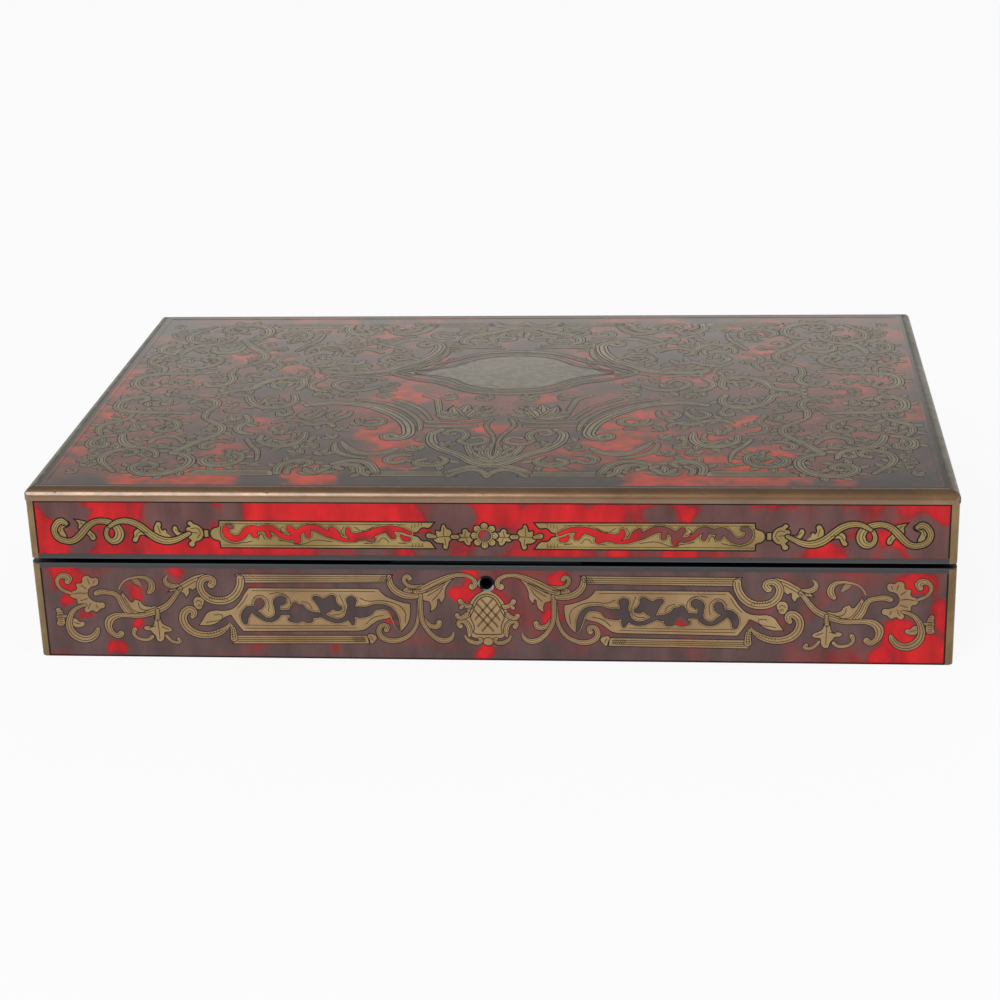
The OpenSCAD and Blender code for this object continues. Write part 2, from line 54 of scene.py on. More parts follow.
# %% Camera
CAMERA_AT = Vector((0.07535, -0.80436, 0.33285))
CAMERA_SWING = radians(5.686)
CAMERA_TILT = radians(68.794)
CAMERA_ROLL = radians(-1.839)
CAMERA_SENSOR = 36
CAMERA_LENS = 79.9

camera_data = bpy.data.cameras.new("camera")
camera_data.sensor_width = CAMERA_SENSOR
camera_data.lens = CAMERA_LENS
camera = bpy.data.objects.new("camera", camera_data)
camera.matrix_world = (
    Matrix.Translation(CAMERA_AT)
    @ Matrix.Rotation(CAMERA_SWING, 4, "Z")
    @ Matrix.Rotation(CAMERA_TILT, 4, "X")
    @ Matrix.Rotation(CAMERA_ROLL, 4, "Z")
)
bpy.context.scene.collection.objects.link(camera)
bpy.context.scene.camera = camera
print("camera:", [round(value, 3) for value in camera.location], "lens", camera_data.lens)

# %% [markdown]
# ## Finishes
# Every finish is a small node tree. A few helpers keep the trees short: the first adds a node and links or
# sets its inputs, and the others use it for ramps, noise, sums and bumps. All patterns read Object
# coordinates, in metres, and since every piece sits at the origin, one pattern runs unbroken from piece to
# piece.

# %% Nodes, ramps and finishes
def add_node(tree, kind, inputs=None, **settings):
    made = tree.nodes.new("ShaderNode" + kind)
    for name, value in settings.items():
        setattr(made, name, value)
    for socket, value in (inputs or {}).items():
        if isinstance(value, bpy.types.NodeSocket):
            tree.links.new(value, made.inputs[socket])
        else:
            made.inputs[socket].default_value = value
    return made


def colour_ramp(tree, factor, stops):
    made = add_node(tree, "ValToRGB", {"Fac": factor})
    marks = made.color_ramp.elements
    while len(marks) < len(stops):
        marks.new(0.5)
    for mark, (place, colour) in zip(marks, stops):
        mark.position = place
        mark.color = (*colour, 1)
    return made.outputs["Color"]


def new_finish(name, **sockets):
    material = bpy.data.materials.new(name)
    material.use_nodes = True
    tree = material.node_tree
    shader = tree.nodes["Principled BSDF"]
    for socket, value in sockets.items():
        shader.inputs[socket.replace("_", " ")].default_value = value
    place = add_node(tree, "TexCoord").outputs["Object"]
    return material, tree, shader, place


print("helpers:", add_node.__name__, colour_ramp.__name__, new_finish.__name__)

# %% Noise, sums and bumps
def noise(tree, place, scale, detail=2.0, distortion=0.0):
    settings = {"Vector": place, "Scale": scale, "Detail": detail, "Distortion": distortion}
    return add_node(tree, "TexNoise", settings).outputs["Fac"]


def math_node(tree, operation, *values):
    return add_node(tree, "Math", dict(enumerate(values)), operation=operation).outputs["Value"]


def vector_node(tree, operation, *vectors, output="Vector"):
    return add_node(tree, "VectorMath", dict(enumerate(vectors)), operation=operation).outputs[output]


def scaled(tree, vector, share):
    return add_node(tree, "VectorMath", {"Vector": vector, "Scale": share},
                    operation="SCALE").outputs["Vector"]


def map_range(tree, value, start, end, low=0.0, high=1.0, **settings):
    ends = {"Value": value, "From Min": start, "From Max": end, "To Min": low, "To Max": high}
    return add_node(tree, "MapRange", ends, **settings).outputs["Result"]


def mix_colours(tree, share, first, second):
    return add_node(tree, "MixRGB", {"Fac": share, "Color1": first, "Color2": second}).outputs["Color"]


BUMP_DEPTH = 0.0001


def bump(tree, shader, height, strength):
    made = add_node(tree, "Bump", {"Height": height, "Strength": strength, "Distance": BUMP_DEPTH})
    tree.links.new(made.outputs["Normal"], shader.inputs["Normal"])


print("finish helpers ready, bumps", BUMP_DEPTH, "m deep")

# %% [markdown]
# ## Tortoiseshell
# The shell is see-through and is laid over red pigment, so its pale parts glow red and its dark clouds are
# nearly black. Soft noise gives the clouds, and a finer noise drawn out upright streaks them. Each sheet was
# cut from a different plate of shell, so a sheet leans towards red or dark as a whole, and listed patches
# put its largest clouds where they lie on the box.

# %% Shell finish
CLOUD_SCALE = 34
RAGGED_SCALE = 110
RAGGED_EDGE = 11 * MM
STREAK_SCALE = 150
STREAK_STRETCH = (1, 1, 0.35)
STREAK_PUSH = 0.16
NOISE_MIDDLE = 0.5
NOISE_ENDS = (0.3, 0.7)
MOTTLE = (0.74, 1.26)
POLISHED = 0.2


def tortoiseshell(name, lean, patches, stops, gloss=0.25, wax=0.0, stray=RAGGED_EDGE):
    material, tree, shader, place = new_finish(name, Roughness=POLISHED, Specular_IOR_Level=gloss,
                                               Coat_Weight=wax, Coat_Roughness=POLISHED)
    ragged = add_node(tree, "TexNoise",
                      {"Vector": place, "Scale": RAGGED_SCALE, "Detail": 2.5}).outputs["Color"]
    shift = scaled(tree, vector_node(tree, "SUBTRACT", ragged, 3 * (NOISE_MIDDLE,)), stray)
    strayed = vector_node(tree, "ADD", place, shift)
    drawn_out = add_node(tree, "Mapping", {"Vector": place, "Scale": STREAK_STRETCH}).outputs["Vector"]
    streaks = noise(tree, drawn_out, STREAK_SCALE, 3.0)
    wisps = math_node(tree, "SUBTRACT", streaks, NOISE_MIDDLE)
    level = math_node(tree, "ADD", noise(tree, place, CLOUD_SCALE, 2.5, 0.8), lean)
    level = math_node(tree, "MULTIPLY_ADD", wisps, STREAK_PUSH, level)
    for centre, reach, push in patches:
        middle = tuple(value * MM for value in centre)
        far = vector_node(tree, "DISTANCE", strayed, middle, output="Value")
        swell = map_range(tree, far, 0, reach * MM, push, 0, interpolation_type="SMOOTHERSTEP")
        level = math_node(tree, "ADD", level, swell)
    mottle = map_range(tree, streaks, *NOISE_ENDS, *MOTTLE)
    tree.links.new(scaled(tree, colour_ramp(tree, level, stops), mottle), shader.inputs["Base Color"])
    return material


print("shell noise scales:", CLOUD_SCALE, RAGGED_SCALE, STREAK_SCALE)

# %% Clouds of the fronts
FRONT_FACE = -105
LID_FOOT = 37.6
BASE_FRONT_MARKS = (
    (-148, 30, 11, 0.5), (-149, 21, 5, 0.4), (-143, 16, 5, 0.45), (-133, 4, 6, 0.55), (-124, 25, 7, 0.3),
    (-123, 13, 6, 0.5), (-107, 33, 5, 0.25), (-54, 3, 5, 0.25), (-33, 16, 5, 0.45), (-9, 26, 6, 0.55),
    (-4, 34, 4, 0.4), (0, 3, 4, 0.5), (24, 31, 5, 0.5), (22, 18, 5, 0.4), (66, 15, 5, 0.4),
    (105, 30, 8, 0.25), (147, 30, 12, 0.5), (156, 18, 10, 0.45), (141, 13, 9, 0.45), (150, 5, 13, 0.5),
    (137, 3, 9, 0.5), (149, 22, 5, -0.6), (-155, 8, 9, -0.4), (-90, 15, 14, -0.3), (90, 5, 14, -0.3),
    (122, 15, 13, -0.3),
)
LID_FRONT_MARKS = (
    (-147, 17, 8, -0.7), (-141, 14, 6, -0.5), (-129, 18, 9, 0.4), (-155, 9, 8, 0.35), (-142, 3, 7, -0.4),
    (-110, 17, 11, -0.7), (-99, 17, 10, -0.65), (-88, 17, 7, -0.6), (-12, 16, 10, -0.7), (-20, 4, 10, -0.6),
    (-40, 3, 8, -0.5), (3, 5, 9, -0.6), (-70, 17, 13, 0.4), (-48, 17, 13, 0.4), (-28, 17, 9, 0.35),
    (6, 18, 10, 0.4), (25, 15, 15, 0.45), (40, 13, 12, 0.4), (50, 9, 6, 0.3), (60, 17, 7, -0.5),
    (69, 17, 4, 0.5), (-62, 18, 9, 0.45), (-39, 18, 9, 0.45), (82, 15, 13, -0.6), (100, 10, 15, -0.55),
    (118, 16, 12, -0.24), (136, 16, 8, -0.16), (152, 5, 12, -0.6), (147, 12, 8, -0.5), (46, 2, 7, 0.3),
    (66, 2, 8, 0.3), (114, 6, 5, 0.4), (128, 4, 8, -0.5), (154, 19, 7, 0.4), (127, 17, 9, -0.14),
    (138, 3, 8, -0.4), (93, 18, 8, -0.2), (-156, 16, 6, 0.5),
)


def front_patches(rim, marks):
    return [((x, FRONT_FACE, rim + up), reach, push) for x, up, reach, push in marks]


base_patches = front_patches(0, BASE_FRONT_MARKS)
lid_patches = front_patches(LID_FOOT, LID_FRONT_MARKS)
print("front patches:", len(base_patches), "and", len(lid_patches))

# %% Clouds of the top
TOP_HEIGHT = 63.5
TOP_START = -101.4
TOP_SWELL = 1.65
BACK_GLARE_FADE = 0.002
TOP_MARKS = (
    (-124, 6, 10, 0.5), (-108, 6, 10, 0.5), (-93, 6, 9, 0.5), (-60, 7, 10, 0.55), (53, 6, 9, 0.45),
    (69, 6, 10, 0.45), (86, 6, 10, 0.45), (103, 8, 9, 0.45), (122, 9, 7, 0.45), (-76, 6, 8, -0.5),
    (-40, 5, 12, -0.5), (-12, 5, 14, -0.5), (15, 5, 14, -0.5), (35, 5, 9, -0.4), (140, 5, 12, -0.4),
    (-98, 18, 10, 0.4), (-70, 17, 8, 0.45), (-29, 18, 6, 0.45), (-38, 27, 7, 0.35), (25, 20, 8, 0.4),
    (33, 29, 7, 0.4), (49, 28, 8, 0.45), (63, 32, 9, 0.5), (78, 29, 7, 0.4), (96, 32, 11, 0.5),
    (93, 21, 9, 0.45), (-44, 53, 8, 0.55), (-40, 44, 6, 0.45), (-28, 43, 6, 0.4), (-3, 60, 8, 0.5),
    (-2, 50, 5, 0.4), (40, 47, 8, 0.5), (46, 53, 6, 0.4), (39, 63, 8, 0.5), (48, 73, 7, 0.45),
    (57, 74, 7, 0.45), (75, 49, 8, 0.4), (87, 67, 8, 0.5), (-90, 61, 8, 0.45), (-76, 50, 7, 0.3),
    (-152, 74, 10, 0.45), (-153, 55, 8, 0.35), (-150, 32, 9, 0.35), (-95, 38, 12, 0.25), (-42, 98, 9, 0.5),
    (-33, 93, 6, 0.45), (-20, 97, 7, 0.45), (14, 97, 6, 0.45), (-40, 112, 7, 0.4), (-46, 122, 6, 0.45),
    (-32, 138, 8, 0.45), (25, 140, 8, 0.45), (36, 128, 8, 0.45), (40, 120, 6, 0.4), (53, 120, 7, 0.4),
    (78, 112, 9, 0.35), (151, 82, 11, 0.45), (150, 142, 9, 0.4), (-75, 119, 11, 0.4), (-133, 113, 13, 0.3),
    (-154, 128, 10, 0.4), (-154, 104, 10, 0.4), (-108, 146, 13, 0.45), (-66, 160, 13, 0.4),
    (-56, 180, 13, 0.4), (-76, 186, 9, 0.35), (-88, 128, 9, 0.3), (95, 151, 9, 0.4), (113, 155, 8, 0.35),
    (62, 163, 9, 0.35), (97, 182, 12, 0.4), (122, 133, 8, 0.3), (128, 108, 10, 0.3), (66, 187, 9, 0.35),
)
# The patches fade towards the back edge: painted sheen, washing the shell's reds and darks out where the
# glare is strongest.
top_patches = [((x, TOP_START + y, TOP_HEIGHT), TOP_SWELL * reach, push * (1 - BACK_GLARE_FADE * y))
               for x, y, reach, push in TOP_MARKS]
print("top patches:", len(top_patches))

# %% Shell sheets
BASE_BLACK = (0.106, 0.059, 0.056)
VINE_BLACK = (0.070, 0.047, 0.045)
LID_BLACK = (0.126, 0.055, 0.052)
SHELL_MAROON = (0.178, 0.044, 0.040)
SHELL_BLOOD = (0.27, 0.016, 0.018)
SHELL_RED = (0.50, 0.006, 0.011)
SHELL_EMBER = (0.55, 0.010, 0.012)
RED_STOPS = ((0.50, SHELL_MAROON), (0.58, SHELL_BLOOD), (0.66, SHELL_RED), (0.88, SHELL_EMBER))
TOP_STOPS = ((0.36, (0.048, 0.036, 0.034)), (0.48, (0.085, 0.041, 0.036)), (0.60, (0.16, 0.042, 0.031)),
             (0.78, (0.31, 0.040, 0.017)), (1.0, (0.48, 0.032, 0.008)))
TOP_STRAY = 30 * MM
base_stops = ((0.38, BASE_BLACK), *RED_STOPS)
lid_stops = ((0.38, LID_BLACK), *RED_STOPS)
vine_stops = ((0.40, VINE_BLACK), *RED_STOPS)
base_shell = tortoiseshell("base_shell", -0.13, base_patches, base_stops)
vine_shell = tortoiseshell("vine_shell", -0.16, base_patches, vine_stops)
lid_shell = tortoiseshell("lid_shell", 0.12, lid_patches, lid_stops)
top_shell = tortoiseshell("top_shell", -0.005, top_patches, TOP_STOPS, gloss=0.55, wax=0.06, stray=TOP_STRAY)
print("shell finishes:", base_shell.name, vine_shell.name, lid_shell.name, top_shell.name)

# %% [markdown]
# ## Brass, steel and wood
# Old brass is a warm metal under a brown bloom. The moulding and strips were handled and rubbed, the inlay
# less so. A metal's colour is its mirror colour, so tarnish is painted by mixing two brass colours with
# noise and by roughening the dull places. The inlay was shaded all over by the engraver with fine wavering
# lines. They follow no drawing, so a distorted wave texture lays them, and one plain oval of the top has an
# even tone instead.

# %% Graver's lines
ENGRAVED_PITCH = 0.8
ENGRAVED_DEPTH = 0.18
WAVE_SCALE = pi / (5 * sqrt(2) * ENGRAVED_PITCH * MM)
WAVER = 14
WAVE_ENDS = (0.15, 0.45)
SPARED_MIDDLE = (0, 24.6 * MM, TOP_HEIGHT * MM)
SPARED_HALF = (48 * MM, 25 * MM, 1)
SPARED_TONE = 0.42


def graver_lines(tree, place, spared):
    waver = {"Vector": place, "Scale": WAVE_SCALE, "Distortion": WAVER, "Detail": 1, "Detail Scale": 0.3}
    waves = add_node(tree, "TexWave", waver, bands_direction="DIAGONAL").outputs["Fac"]
    cut = map_range(tree, waves, *WAVE_ENDS, ENGRAVED_DEPTH, 0)
    if spared:
        away = vector_node(tree, "SUBTRACT", place, SPARED_MIDDLE)
        away = vector_node(tree, "DIVIDE", away, SPARED_HALF)
        away = vector_node(tree, "LENGTH", away, output="Value")
        cut = map_range(tree, math_node(tree, "GREATER_THAN", away, 1.0), 0, 1, SPARED_TONE, cut)
    return math_node(tree, "SUBTRACT", 1.0, cut)


print("graver's lines every", ENGRAVED_PITCH, "mm")

# %% Brass and steel
BLOOM_ENDS = (0.35, 0.65)
SCUFFS_PER_BLOOM = 9
SCUFF_BUMP = 0.12
ROUGH_SPREAD = 0.1


def worn_metal(name, bright, dull, scale, rough, metallic=1.0, wax=0.0, engraved=False, lacquer=1.5):
    material, tree, shader, place = new_finish(name, Metallic=metallic, Coat_Weight=wax,
                                               Coat_Roughness=POLISHED, Coat_IOR=lacquer)
    bloom = noise(tree, place, scale, 4.0, 0.4)
    colour = colour_ramp(tree, bloom, tuple(zip(BLOOM_ENDS, (dull, bright))))
    if engraved:
        colour = scaled(tree, colour, graver_lines(tree, place, wax > 0))
    tree.links.new(colour, shader.inputs["Base Color"])
    scuffs = noise(tree, place, SCUFFS_PER_BLOOM * scale, 3.0)
    spread = map_range(tree, scuffs, *NOISE_ENDS, rough - ROUGH_SPREAD, rough + ROUGH_SPREAD)
    tree.links.new(spread, shader.inputs["Roughness"])
    bump(tree, shader, scuffs, SCUFF_BUMP)
    return material


moulding_brass = worn_metal("moulding_brass", (0.285, 0.148, 0.061), (0.175, 0.086, 0.030), 30, 0.46,
                            metallic=0.85, wax=1.0, lacquer=1.75)
# the side and back runs of the moulding get a darker, greyer brass than the front run
end_brass = worn_metal("end_brass", (0.140, 0.122, 0.086), (0.080, 0.072, 0.054), 30, 0.5,
                       metallic=0.85, wax=0.25)
strip_brass = worn_metal("strip_brass", (0.31, 0.205, 0.102), (0.19, 0.122, 0.058), 60, 0.42, metallic=0.85)
base_brass = worn_metal("base_brass", (0.452, 0.302, 0.156), (0.330, 0.206, 0.104), 45, 0.42,
                        metallic=0.8, engraved=True)
lid_brass = worn_metal("lid_brass", (0.452, 0.326, 0.132), (0.295, 0.205, 0.082), 45, 0.42,
                       metallic=0.8, engraved=True)
top_brass = worn_metal("top_brass", (0.300, 0.244, 0.138), (0.195, 0.158, 0.090), 45, 0.44,
                       metallic=0.6, wax=0.85, engraved=True)
hinge_brass = worn_metal("hinge_brass", (0.52, 0.36, 0.15), (0.33, 0.21, 0.08), 60, 0.32)
bright_steel = worn_metal("bright_steel", (0.34, 0.36, 0.33), (0.2, 0.21, 0.19), 300, 0.45, metallic=0.7)
print("finishes so far:", len(bpy.data.materials))

# %% Dark fillers
GRAIN_SCALE = 220
GRAIN_DEPTH = 0.6


def dark_filler(name, colour, rough, gloss=0.3):
    material, tree, shader, place = new_finish(name, Roughness=rough, Specular_IOR_Level=gloss)
    grain = noise(tree, place, GRAIN_SCALE, 3.0)
    deep = tuple(GRAIN_DEPTH * value for value in colour)
    stops = tuple(zip(NOISE_ENDS, (deep, colour)))
    tree.links.new(colour_ramp(tree, grain, stops), shader.inputs["Base Color"])
    return material


mastic = dark_filler("mastic", (0.024, 0.020, 0.018), 0.7, 0.08)
engraved_line = dark_filler("engraved_line", (0.045, 0.03, 0.018), 0.7, 0.08)
# lock_steel is near black and barely glossy: blackened steel, made darker still as painted shade so the lock
# and strike seen in the joint keep its gap dark
lock_steel = dark_filler("lock_steel", (0.014, 0.014, 0.015), 0.6, 0.08)
print("dark fillers:", mastic.name, engraved_line.name, lock_steel.name)

# %% Woods
FIGURE_SCALE = 60
PORE_SCALE = 420
PORE_BUMP = 0.08
ALONG = (0.12, 1, 1)


def polished_wood(name, pale, dark, rough, along):
    material, tree, shader, place = new_finish(name, Roughness=rough, Coat_Weight=0.25, Coat_Roughness=0.15)
    drawn = add_node(tree, "Mapping", {"Vector": place, "Scale": along}).outputs["Vector"]
    figure = noise(tree, drawn, FIGURE_SCALE, 5.0, 1.2)
    pores = noise(tree, drawn, PORE_SCALE, 2.0)
    stops = tuple(zip(NOISE_ENDS, (dark, pale)))
    tree.links.new(colour_ramp(tree, figure, stops), shader.inputs["Base Color"])
    bump(tree, shader, pores, PORE_BUMP)
    return material


ebonised_wood = polished_wood("ebonised_wood", (0.046, 0.046, 0.049), (0.026, 0.026, 0.028), 0.26,
                              (0.2, 0.2, 1))
rosewood = polished_wood("rosewood", (0.19, 0.066, 0.034), (0.055, 0.019, 0.012), 0.3, ALONG)
carcass_wood = polished_wood("carcass_wood", (0.40, 0.25, 0.13), (0.26, 0.15, 0.075), 0.55, ALONG)
print("woods:", ebonised_wood.name, rosewood.name, carcass_wood.name)

# %% [markdown]
# ## The rims
# Where lid and base meet, each has a rim of black wood. Next to the joint its face carries a painted grey
# highlight that darkens towards the shell, and the hidden side in the joint is painted black as shade. All
# of this depends only on the distance from the joint, so one ramp along the height paints it.

# %% Rim finishes
RIM_DEPTH = 1.8
# painted black shade on the face in the joint, then a painted grey highlight fading into the dark rim
RIM_HIGHLIGHT_AND_SHADE_STOPS = ((0.02, (0.002, 0.002, 0.002)), (0.05, (0.072, 0.077, 0.089)), (0.35, (0.046, 0.047, 0.051)),
             (1.0, (0.060, 0.046, 0.046)))


def rim_finish(name, joint, way):
    material, tree, shader, place = new_finish(name, Roughness=0.35, Specular_IOR_Level=0.3)
    height = add_node(tree, "SeparateXYZ", {"Vector": place}).outputs["Z"]
    depth = map_range(tree, height, joint, joint + way * RIM_DEPTH * MM)
    tree.links.new(colour_ramp(tree, depth, RIM_HIGHLIGHT_AND_SHADE_STOPS), shader.inputs["Base Color"])
    return material


base_rim = rim_finish("base_rim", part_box("base_rim_caps")[1].z, -1)
lid_rim = rim_finish("lid_rim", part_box("lid_rim_caps")[0].z, 1)
print("rim finishes:", base_rim.name, lid_rim.name)

# %% [markdown]
# ## The line round the top
# The shell runs on over the border, and a thin black line follows the inside of the moulding. The finish of
# the top measures how far a spot is from the moulding and turns black close to it.

# %% Line round the top
BORDER_LINE = 1.3
LINE_BLUR = 0.2
LINE_BLACK = (0.014, 0.013, 0.014, 1)
border_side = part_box("lid_top_border")[1]
top_tree = top_shell.node_tree
top_colour = top_tree.nodes["Principled BSDF"].inputs["Base Color"]
spot = vector_node(top_tree, "ABSOLUTE", add_node(top_tree, "TexCoord").outputs["Object"])
spot = vector_node(top_tree, "SUBTRACT", tuple(border_side), spot)
apart = add_node(top_tree, "SeparateXYZ", {"Vector": spot}).outputs
near = math_node(top_tree, "MINIMUM", apart["X"], apart["Y"])
line_ends = [share * BORDER_LINE * MM for share in (1 - LINE_BLUR, 1 + LINE_BLUR)]
lined = mix_colours(top_tree, map_range(top_tree, near, *line_ends), LINE_BLACK,
                    top_colour.links[0].from_socket)
top_tree.links.new(lined, top_colour)
print("black line:", BORDER_LINE, "mm")

# %% [markdown]
# ## Which solid has which finish
# The names of the solids say what they are, so one function picks the finish from the name. The front run of
# the moulding has a warm brown brass, and the other three runs a darker, greyer one.

# %% Give every solid its finish
WARM_MOULDING_PIECES = ("lid_moulding_front", "moulding_pins")


def finish_of(name):
    if name == "lid_top_marquetry":
        return top_shell, "tortoiseshell"
    if name.endswith("marquetry"):
        return (base_shell if name.startswith("base") else lid_shell), "tortoiseshell"
    if name.startswith("counter_lid"):
        return lid_shell, "tortoiseshell"
    if name == "lid_top_border":
        return top_shell, "ebonised_wood"
    if name.endswith("rim_caps"):
        return (base_rim if name.startswith("base") else lid_rim), "ebonised_wood"
    if name.endswith("liner_slips") or name.startswith("counter_box"):
        return ebonised_wood, "ebonised_wood"
    if "moulding" in name:
        return (moulding_brass if name in WARM_MOULDING_PIECES else end_brass), "polished_brass"
    if "corner_strips" in name:
        return strip_brass, "polished_brass"
    if name.startswith("hinge"):
        return hinge_brass, "aged_brass"
    if name.startswith(("lock", "strike")) or name == "keyhole_bush":
        return lock_steel, "lock_steel"
    if "veneer" in name or "divider" in name:
        return rosewood, "rosewood"
    return carcass_wood, "carcass_wood"


for name, solid in nodes.items():
    finish, slot_name = finish_of(name)
    solid.data.materials.clear()
    solid.data.materials.append(finish)
print("finished solids:", len(nodes))

# %% [markdown]
# ## How the marquetry is drawn
# On the real box the scrolls were sawn from brass sheet and shell in one packet, so brass, shell and the
# black mastic between them lie in one plane. A scroll swells and thins like a pen stroke. It could be cut
# from a solid sheet, but a curve swept with a flat nib is quicker: each point has its own radius, which is
# half the stroke's width there, and the nib's top edge stays at one height. A second nib, of two small V
# cuts, engraves two lines along each stroke. Leaves and plates are filled outlines. Every drawing is the
# left half of a panel in millimetres, and a mirror makes the right half.

# %% Nibs
NIB_DEPTH = 0.05
GRAVER_MIDDLE = 0.45
GRAVER_HALF = 0.1


def flat_nib(name, bars):
    outline = bpy.data.curves.new(name, "CURVE")
    outline.dimensions = "2D"
    for corners in bars:
        bar = outline.splines.new("POLY")
        bar.points.add(len(corners) - 1)
        for point, corner in zip(bar.points, corners):
            point.co = (*corner, 0, 1)
        bar.use_cyclic_u = True
    nib = bpy.data.objects.new(name, outline)
    bpy.context.scene.collection.objects.link(nib)
    return nib


broad_nib = flat_nib("broad_nib", [[(-1, 0), (1, 0), (1, -NIB_DEPTH), (-1, -NIB_DEPTH)]])
graver_cuts = [[(middle - GRAVER_HALF, 0), (middle + GRAVER_HALF, 0), (middle, -NIB_DEPTH)]
               for middle in (-GRAVER_MIDDLE, GRAVER_MIDDLE)]
graver_nib = flat_nib("graver_nib", graver_cuts)
print("nibs:", broad_nib.name, graver_nib.name)

# %% Flat curves
CURVE_STEPS = 4
SHARP = "sharp"


def flat_curve(name):
    curve = bpy.data.curves.new(name, "CURVE")
    curve.dimensions = "2D"
    curve.resolution_u = CURVE_STEPS
    return curve


def add_spline(curve, points, closed):
    spline = curve.splines.new("BEZIER")
    spline.bezier_points.add(len(points) - 1)
    for knot, point in zip(spline.bezier_points, points):
        knot.co = (point[0] * MM, point[1] * MM, 0)
        handle = "VECTOR" if point[-1] == SHARP else "AUTO"
        knot.handle_left_type = handle
        knot.handle_right_type = handle
    spline.use_cyclic_u = closed
    return spline


def as_mesh(curve):
    holder = bpy.data.objects.new("drawing", curve)
    bpy.context.scene.collection.objects.link(holder)
    bpy.context.view_layer.update()
    mesh = bpy.data.meshes.new_from_object(holder.evaluated_get(bpy.context.evaluated_depsgraph_get()))
    bpy.data.objects.remove(holder)
    bpy.data.curves.remove(curve)
    return mesh


print("a curve has", CURVE_STEPS, "steps between knots")

# %% Strokes
CLOSE_STEPS = 2
CLOSE_KNOTS = 1.8
BOLD = 1.2
ROUND_END = 0.6
ROUND_CAP = ((0.55, 0.84), (0.98, 0.1))


def rounded(points, spread):
    wide = [(x, y, width + 2 * spread * min(1, width / BOLD)) for x, y, width in points]
    for end, inner in ((0, 1), (-1, -2)):
        x, y, width = wide[end]
        if width < ROUND_END:
            continue
        outward = Vector((x - wide[inner][0], y - wide[inner][1])).normalized() * width / 2
        cap = [(x + outward.x * far, y + outward.y * far, width * share) for far, share in ROUND_CAP]
        wide = cap[::-1] + wide if end == 0 else wide + cap
    return wide


def strokes_mesh(strokes, nib=broad_nib, spread=0.0, ends_round=True):
    curve = flat_curve("strokes")
    curve.bevel_mode = "OBJECT"
    curve.bevel_object = nib
    curve.use_fill_caps = True
    for points in strokes:
        points = rounded(points, spread) if ends_round else points
        spline = add_spline(curve, points, False)
        length = sum((Vector(a[:2]) - Vector(b[:2])).length for a, b in zip(points, points[1:]))
        close = length < CLOSE_KNOTS * (len(points) - 1)
        spline.resolution_u = CLOSE_STEPS if close else CURVE_STEPS
        for knot, (x, y, width) in zip(spline.bezier_points, points):
            knot.radius = width / 2 * MM
    return as_mesh(curve)


print("strokes from", ROUND_END, "mm wide end round")

# %% Plates
PLATE_DEPTH = 0.06 * MM
DISC_POINTS = 6


def turns_left(points):
    ahead = points[1:] + points[:1]
    return sum(a[0] * b[1] - b[0] * a[1] for a, b in zip(points, ahead)) > 0


def plate_mesh(points, spread=0.0):
    curve = flat_curve("plate")
    curve.fill_mode = "BOTH"
    curve.extrude = PLATE_DEPTH / 2
    curve.offset = spread * MM
    points = list(points)
    add_spline(curve, points if turns_left(points) else points[::-1], True)
    mesh = as_mesh(curve)
    mesh.transform(Matrix.Translation((0, 0, -PLATE_DEPTH / 2)))
    return mesh


def disc(x, y, radius):
    turns = [2 * pi * k / DISC_POINTS for k in range(DISC_POINTS)]
    return [(x + radius * cos(turn), y + radius * sin(turn)) for turn in turns]


print("plates are", round(PLATE_DEPTH / MM, 3), "mm deep")

# %% [markdown]
# ## Laying a panel
# A panel is laid in steps of a few thousandths of a millimetre, all below the brass strips that frame it. A
# shape takes the lowest step on which nothing touches it. Each step has a wider shape of mastic and the
# brass a hair above it, so a leaf that crosses another keeps its black edge and no two faces share a plane.
# The shell vines that show through the brass plates come next, and the engraved lines last. A line drawn
# without widths gets the graver's usual fine cut.

# %% Drawings
FINE_WIDTH = 0.22
HATCH_WIDTH = 0.18


def fine(points, width=FINE_WIDTH):
    return [(x, y, width) for x, y in points]


def hatching(start, end, count, run):
    steps = [k / (count - 1) for k in range(count)]
    feet = [(start[0] + t * (end[0] - start[0]), start[1] + t * (end[1] - start[1])) for t in steps]
    return [fine([(x, y), (x + run[0], y + run[1])], HATCH_WIDTH) for x, y in feet]


def drawing(strokes=(), plates=(), lines=(), vines=(), vine_leaves=()):
    lines = [line if len(line[0]) > 2 else fine(line) for line in lines]
    return {"strokes": list(strokes), "plates": list(plates), "lines": lines,
            "vines": list(vines), "vine_leaves": list(vine_leaves)}


def together(*drawings):
    return {part: [shape for one in drawings for shape in one[part]] for part in drawings[0]}


def redrawn(design, change):
    return {part: [[(*change(p[0], p[1]), *p[2:]) for p in shape] for shape in shapes]
            for part, shapes in design.items()}


def broader(design, share):
    strokes = [[(x, y, share * width) for x, y, width in points] for points in design["strokes"]]
    return {**design, "strokes": strokes}


print("usual engraved line:", FINE_WIDTH, "mm")

# %% Steps of a panel
STEPS = 18
CLEAR = 0.6


def reach_of(shape):
    spare = CLEAR + max((p[2] / 2 for p in shape if len(p) > 2 and p[2] != SHARP), default=0)
    across = [p[0] for p in shape]
    up = [p[1] for p in shape]
    return min(across) - spare, max(across) + spare, min(up) - spare, max(up) + spare


def meet(one, other):
    return one[0] < other[1] and other[0] < one[1] and one[2] < other[3] and other[2] < one[3]


def sorted_on_steps(plates, strokes):
    steps = [{"reaches": [], "plates": [], "strokes": []} for k in range(STEPS)]
    for part, shapes in (("plates", plates), ("strokes", strokes)):
        for shape in shapes:
            reach = reach_of(shape)
            free = [step for step in steps if not any(meet(reach, other) for other in step["reaches"])]
            step = free[0] if free else steps[-1]
            step["reaches"].append(reach)
            step[part].append(shape)
    return steps


print("a panel has up to", STEPS, "steps")

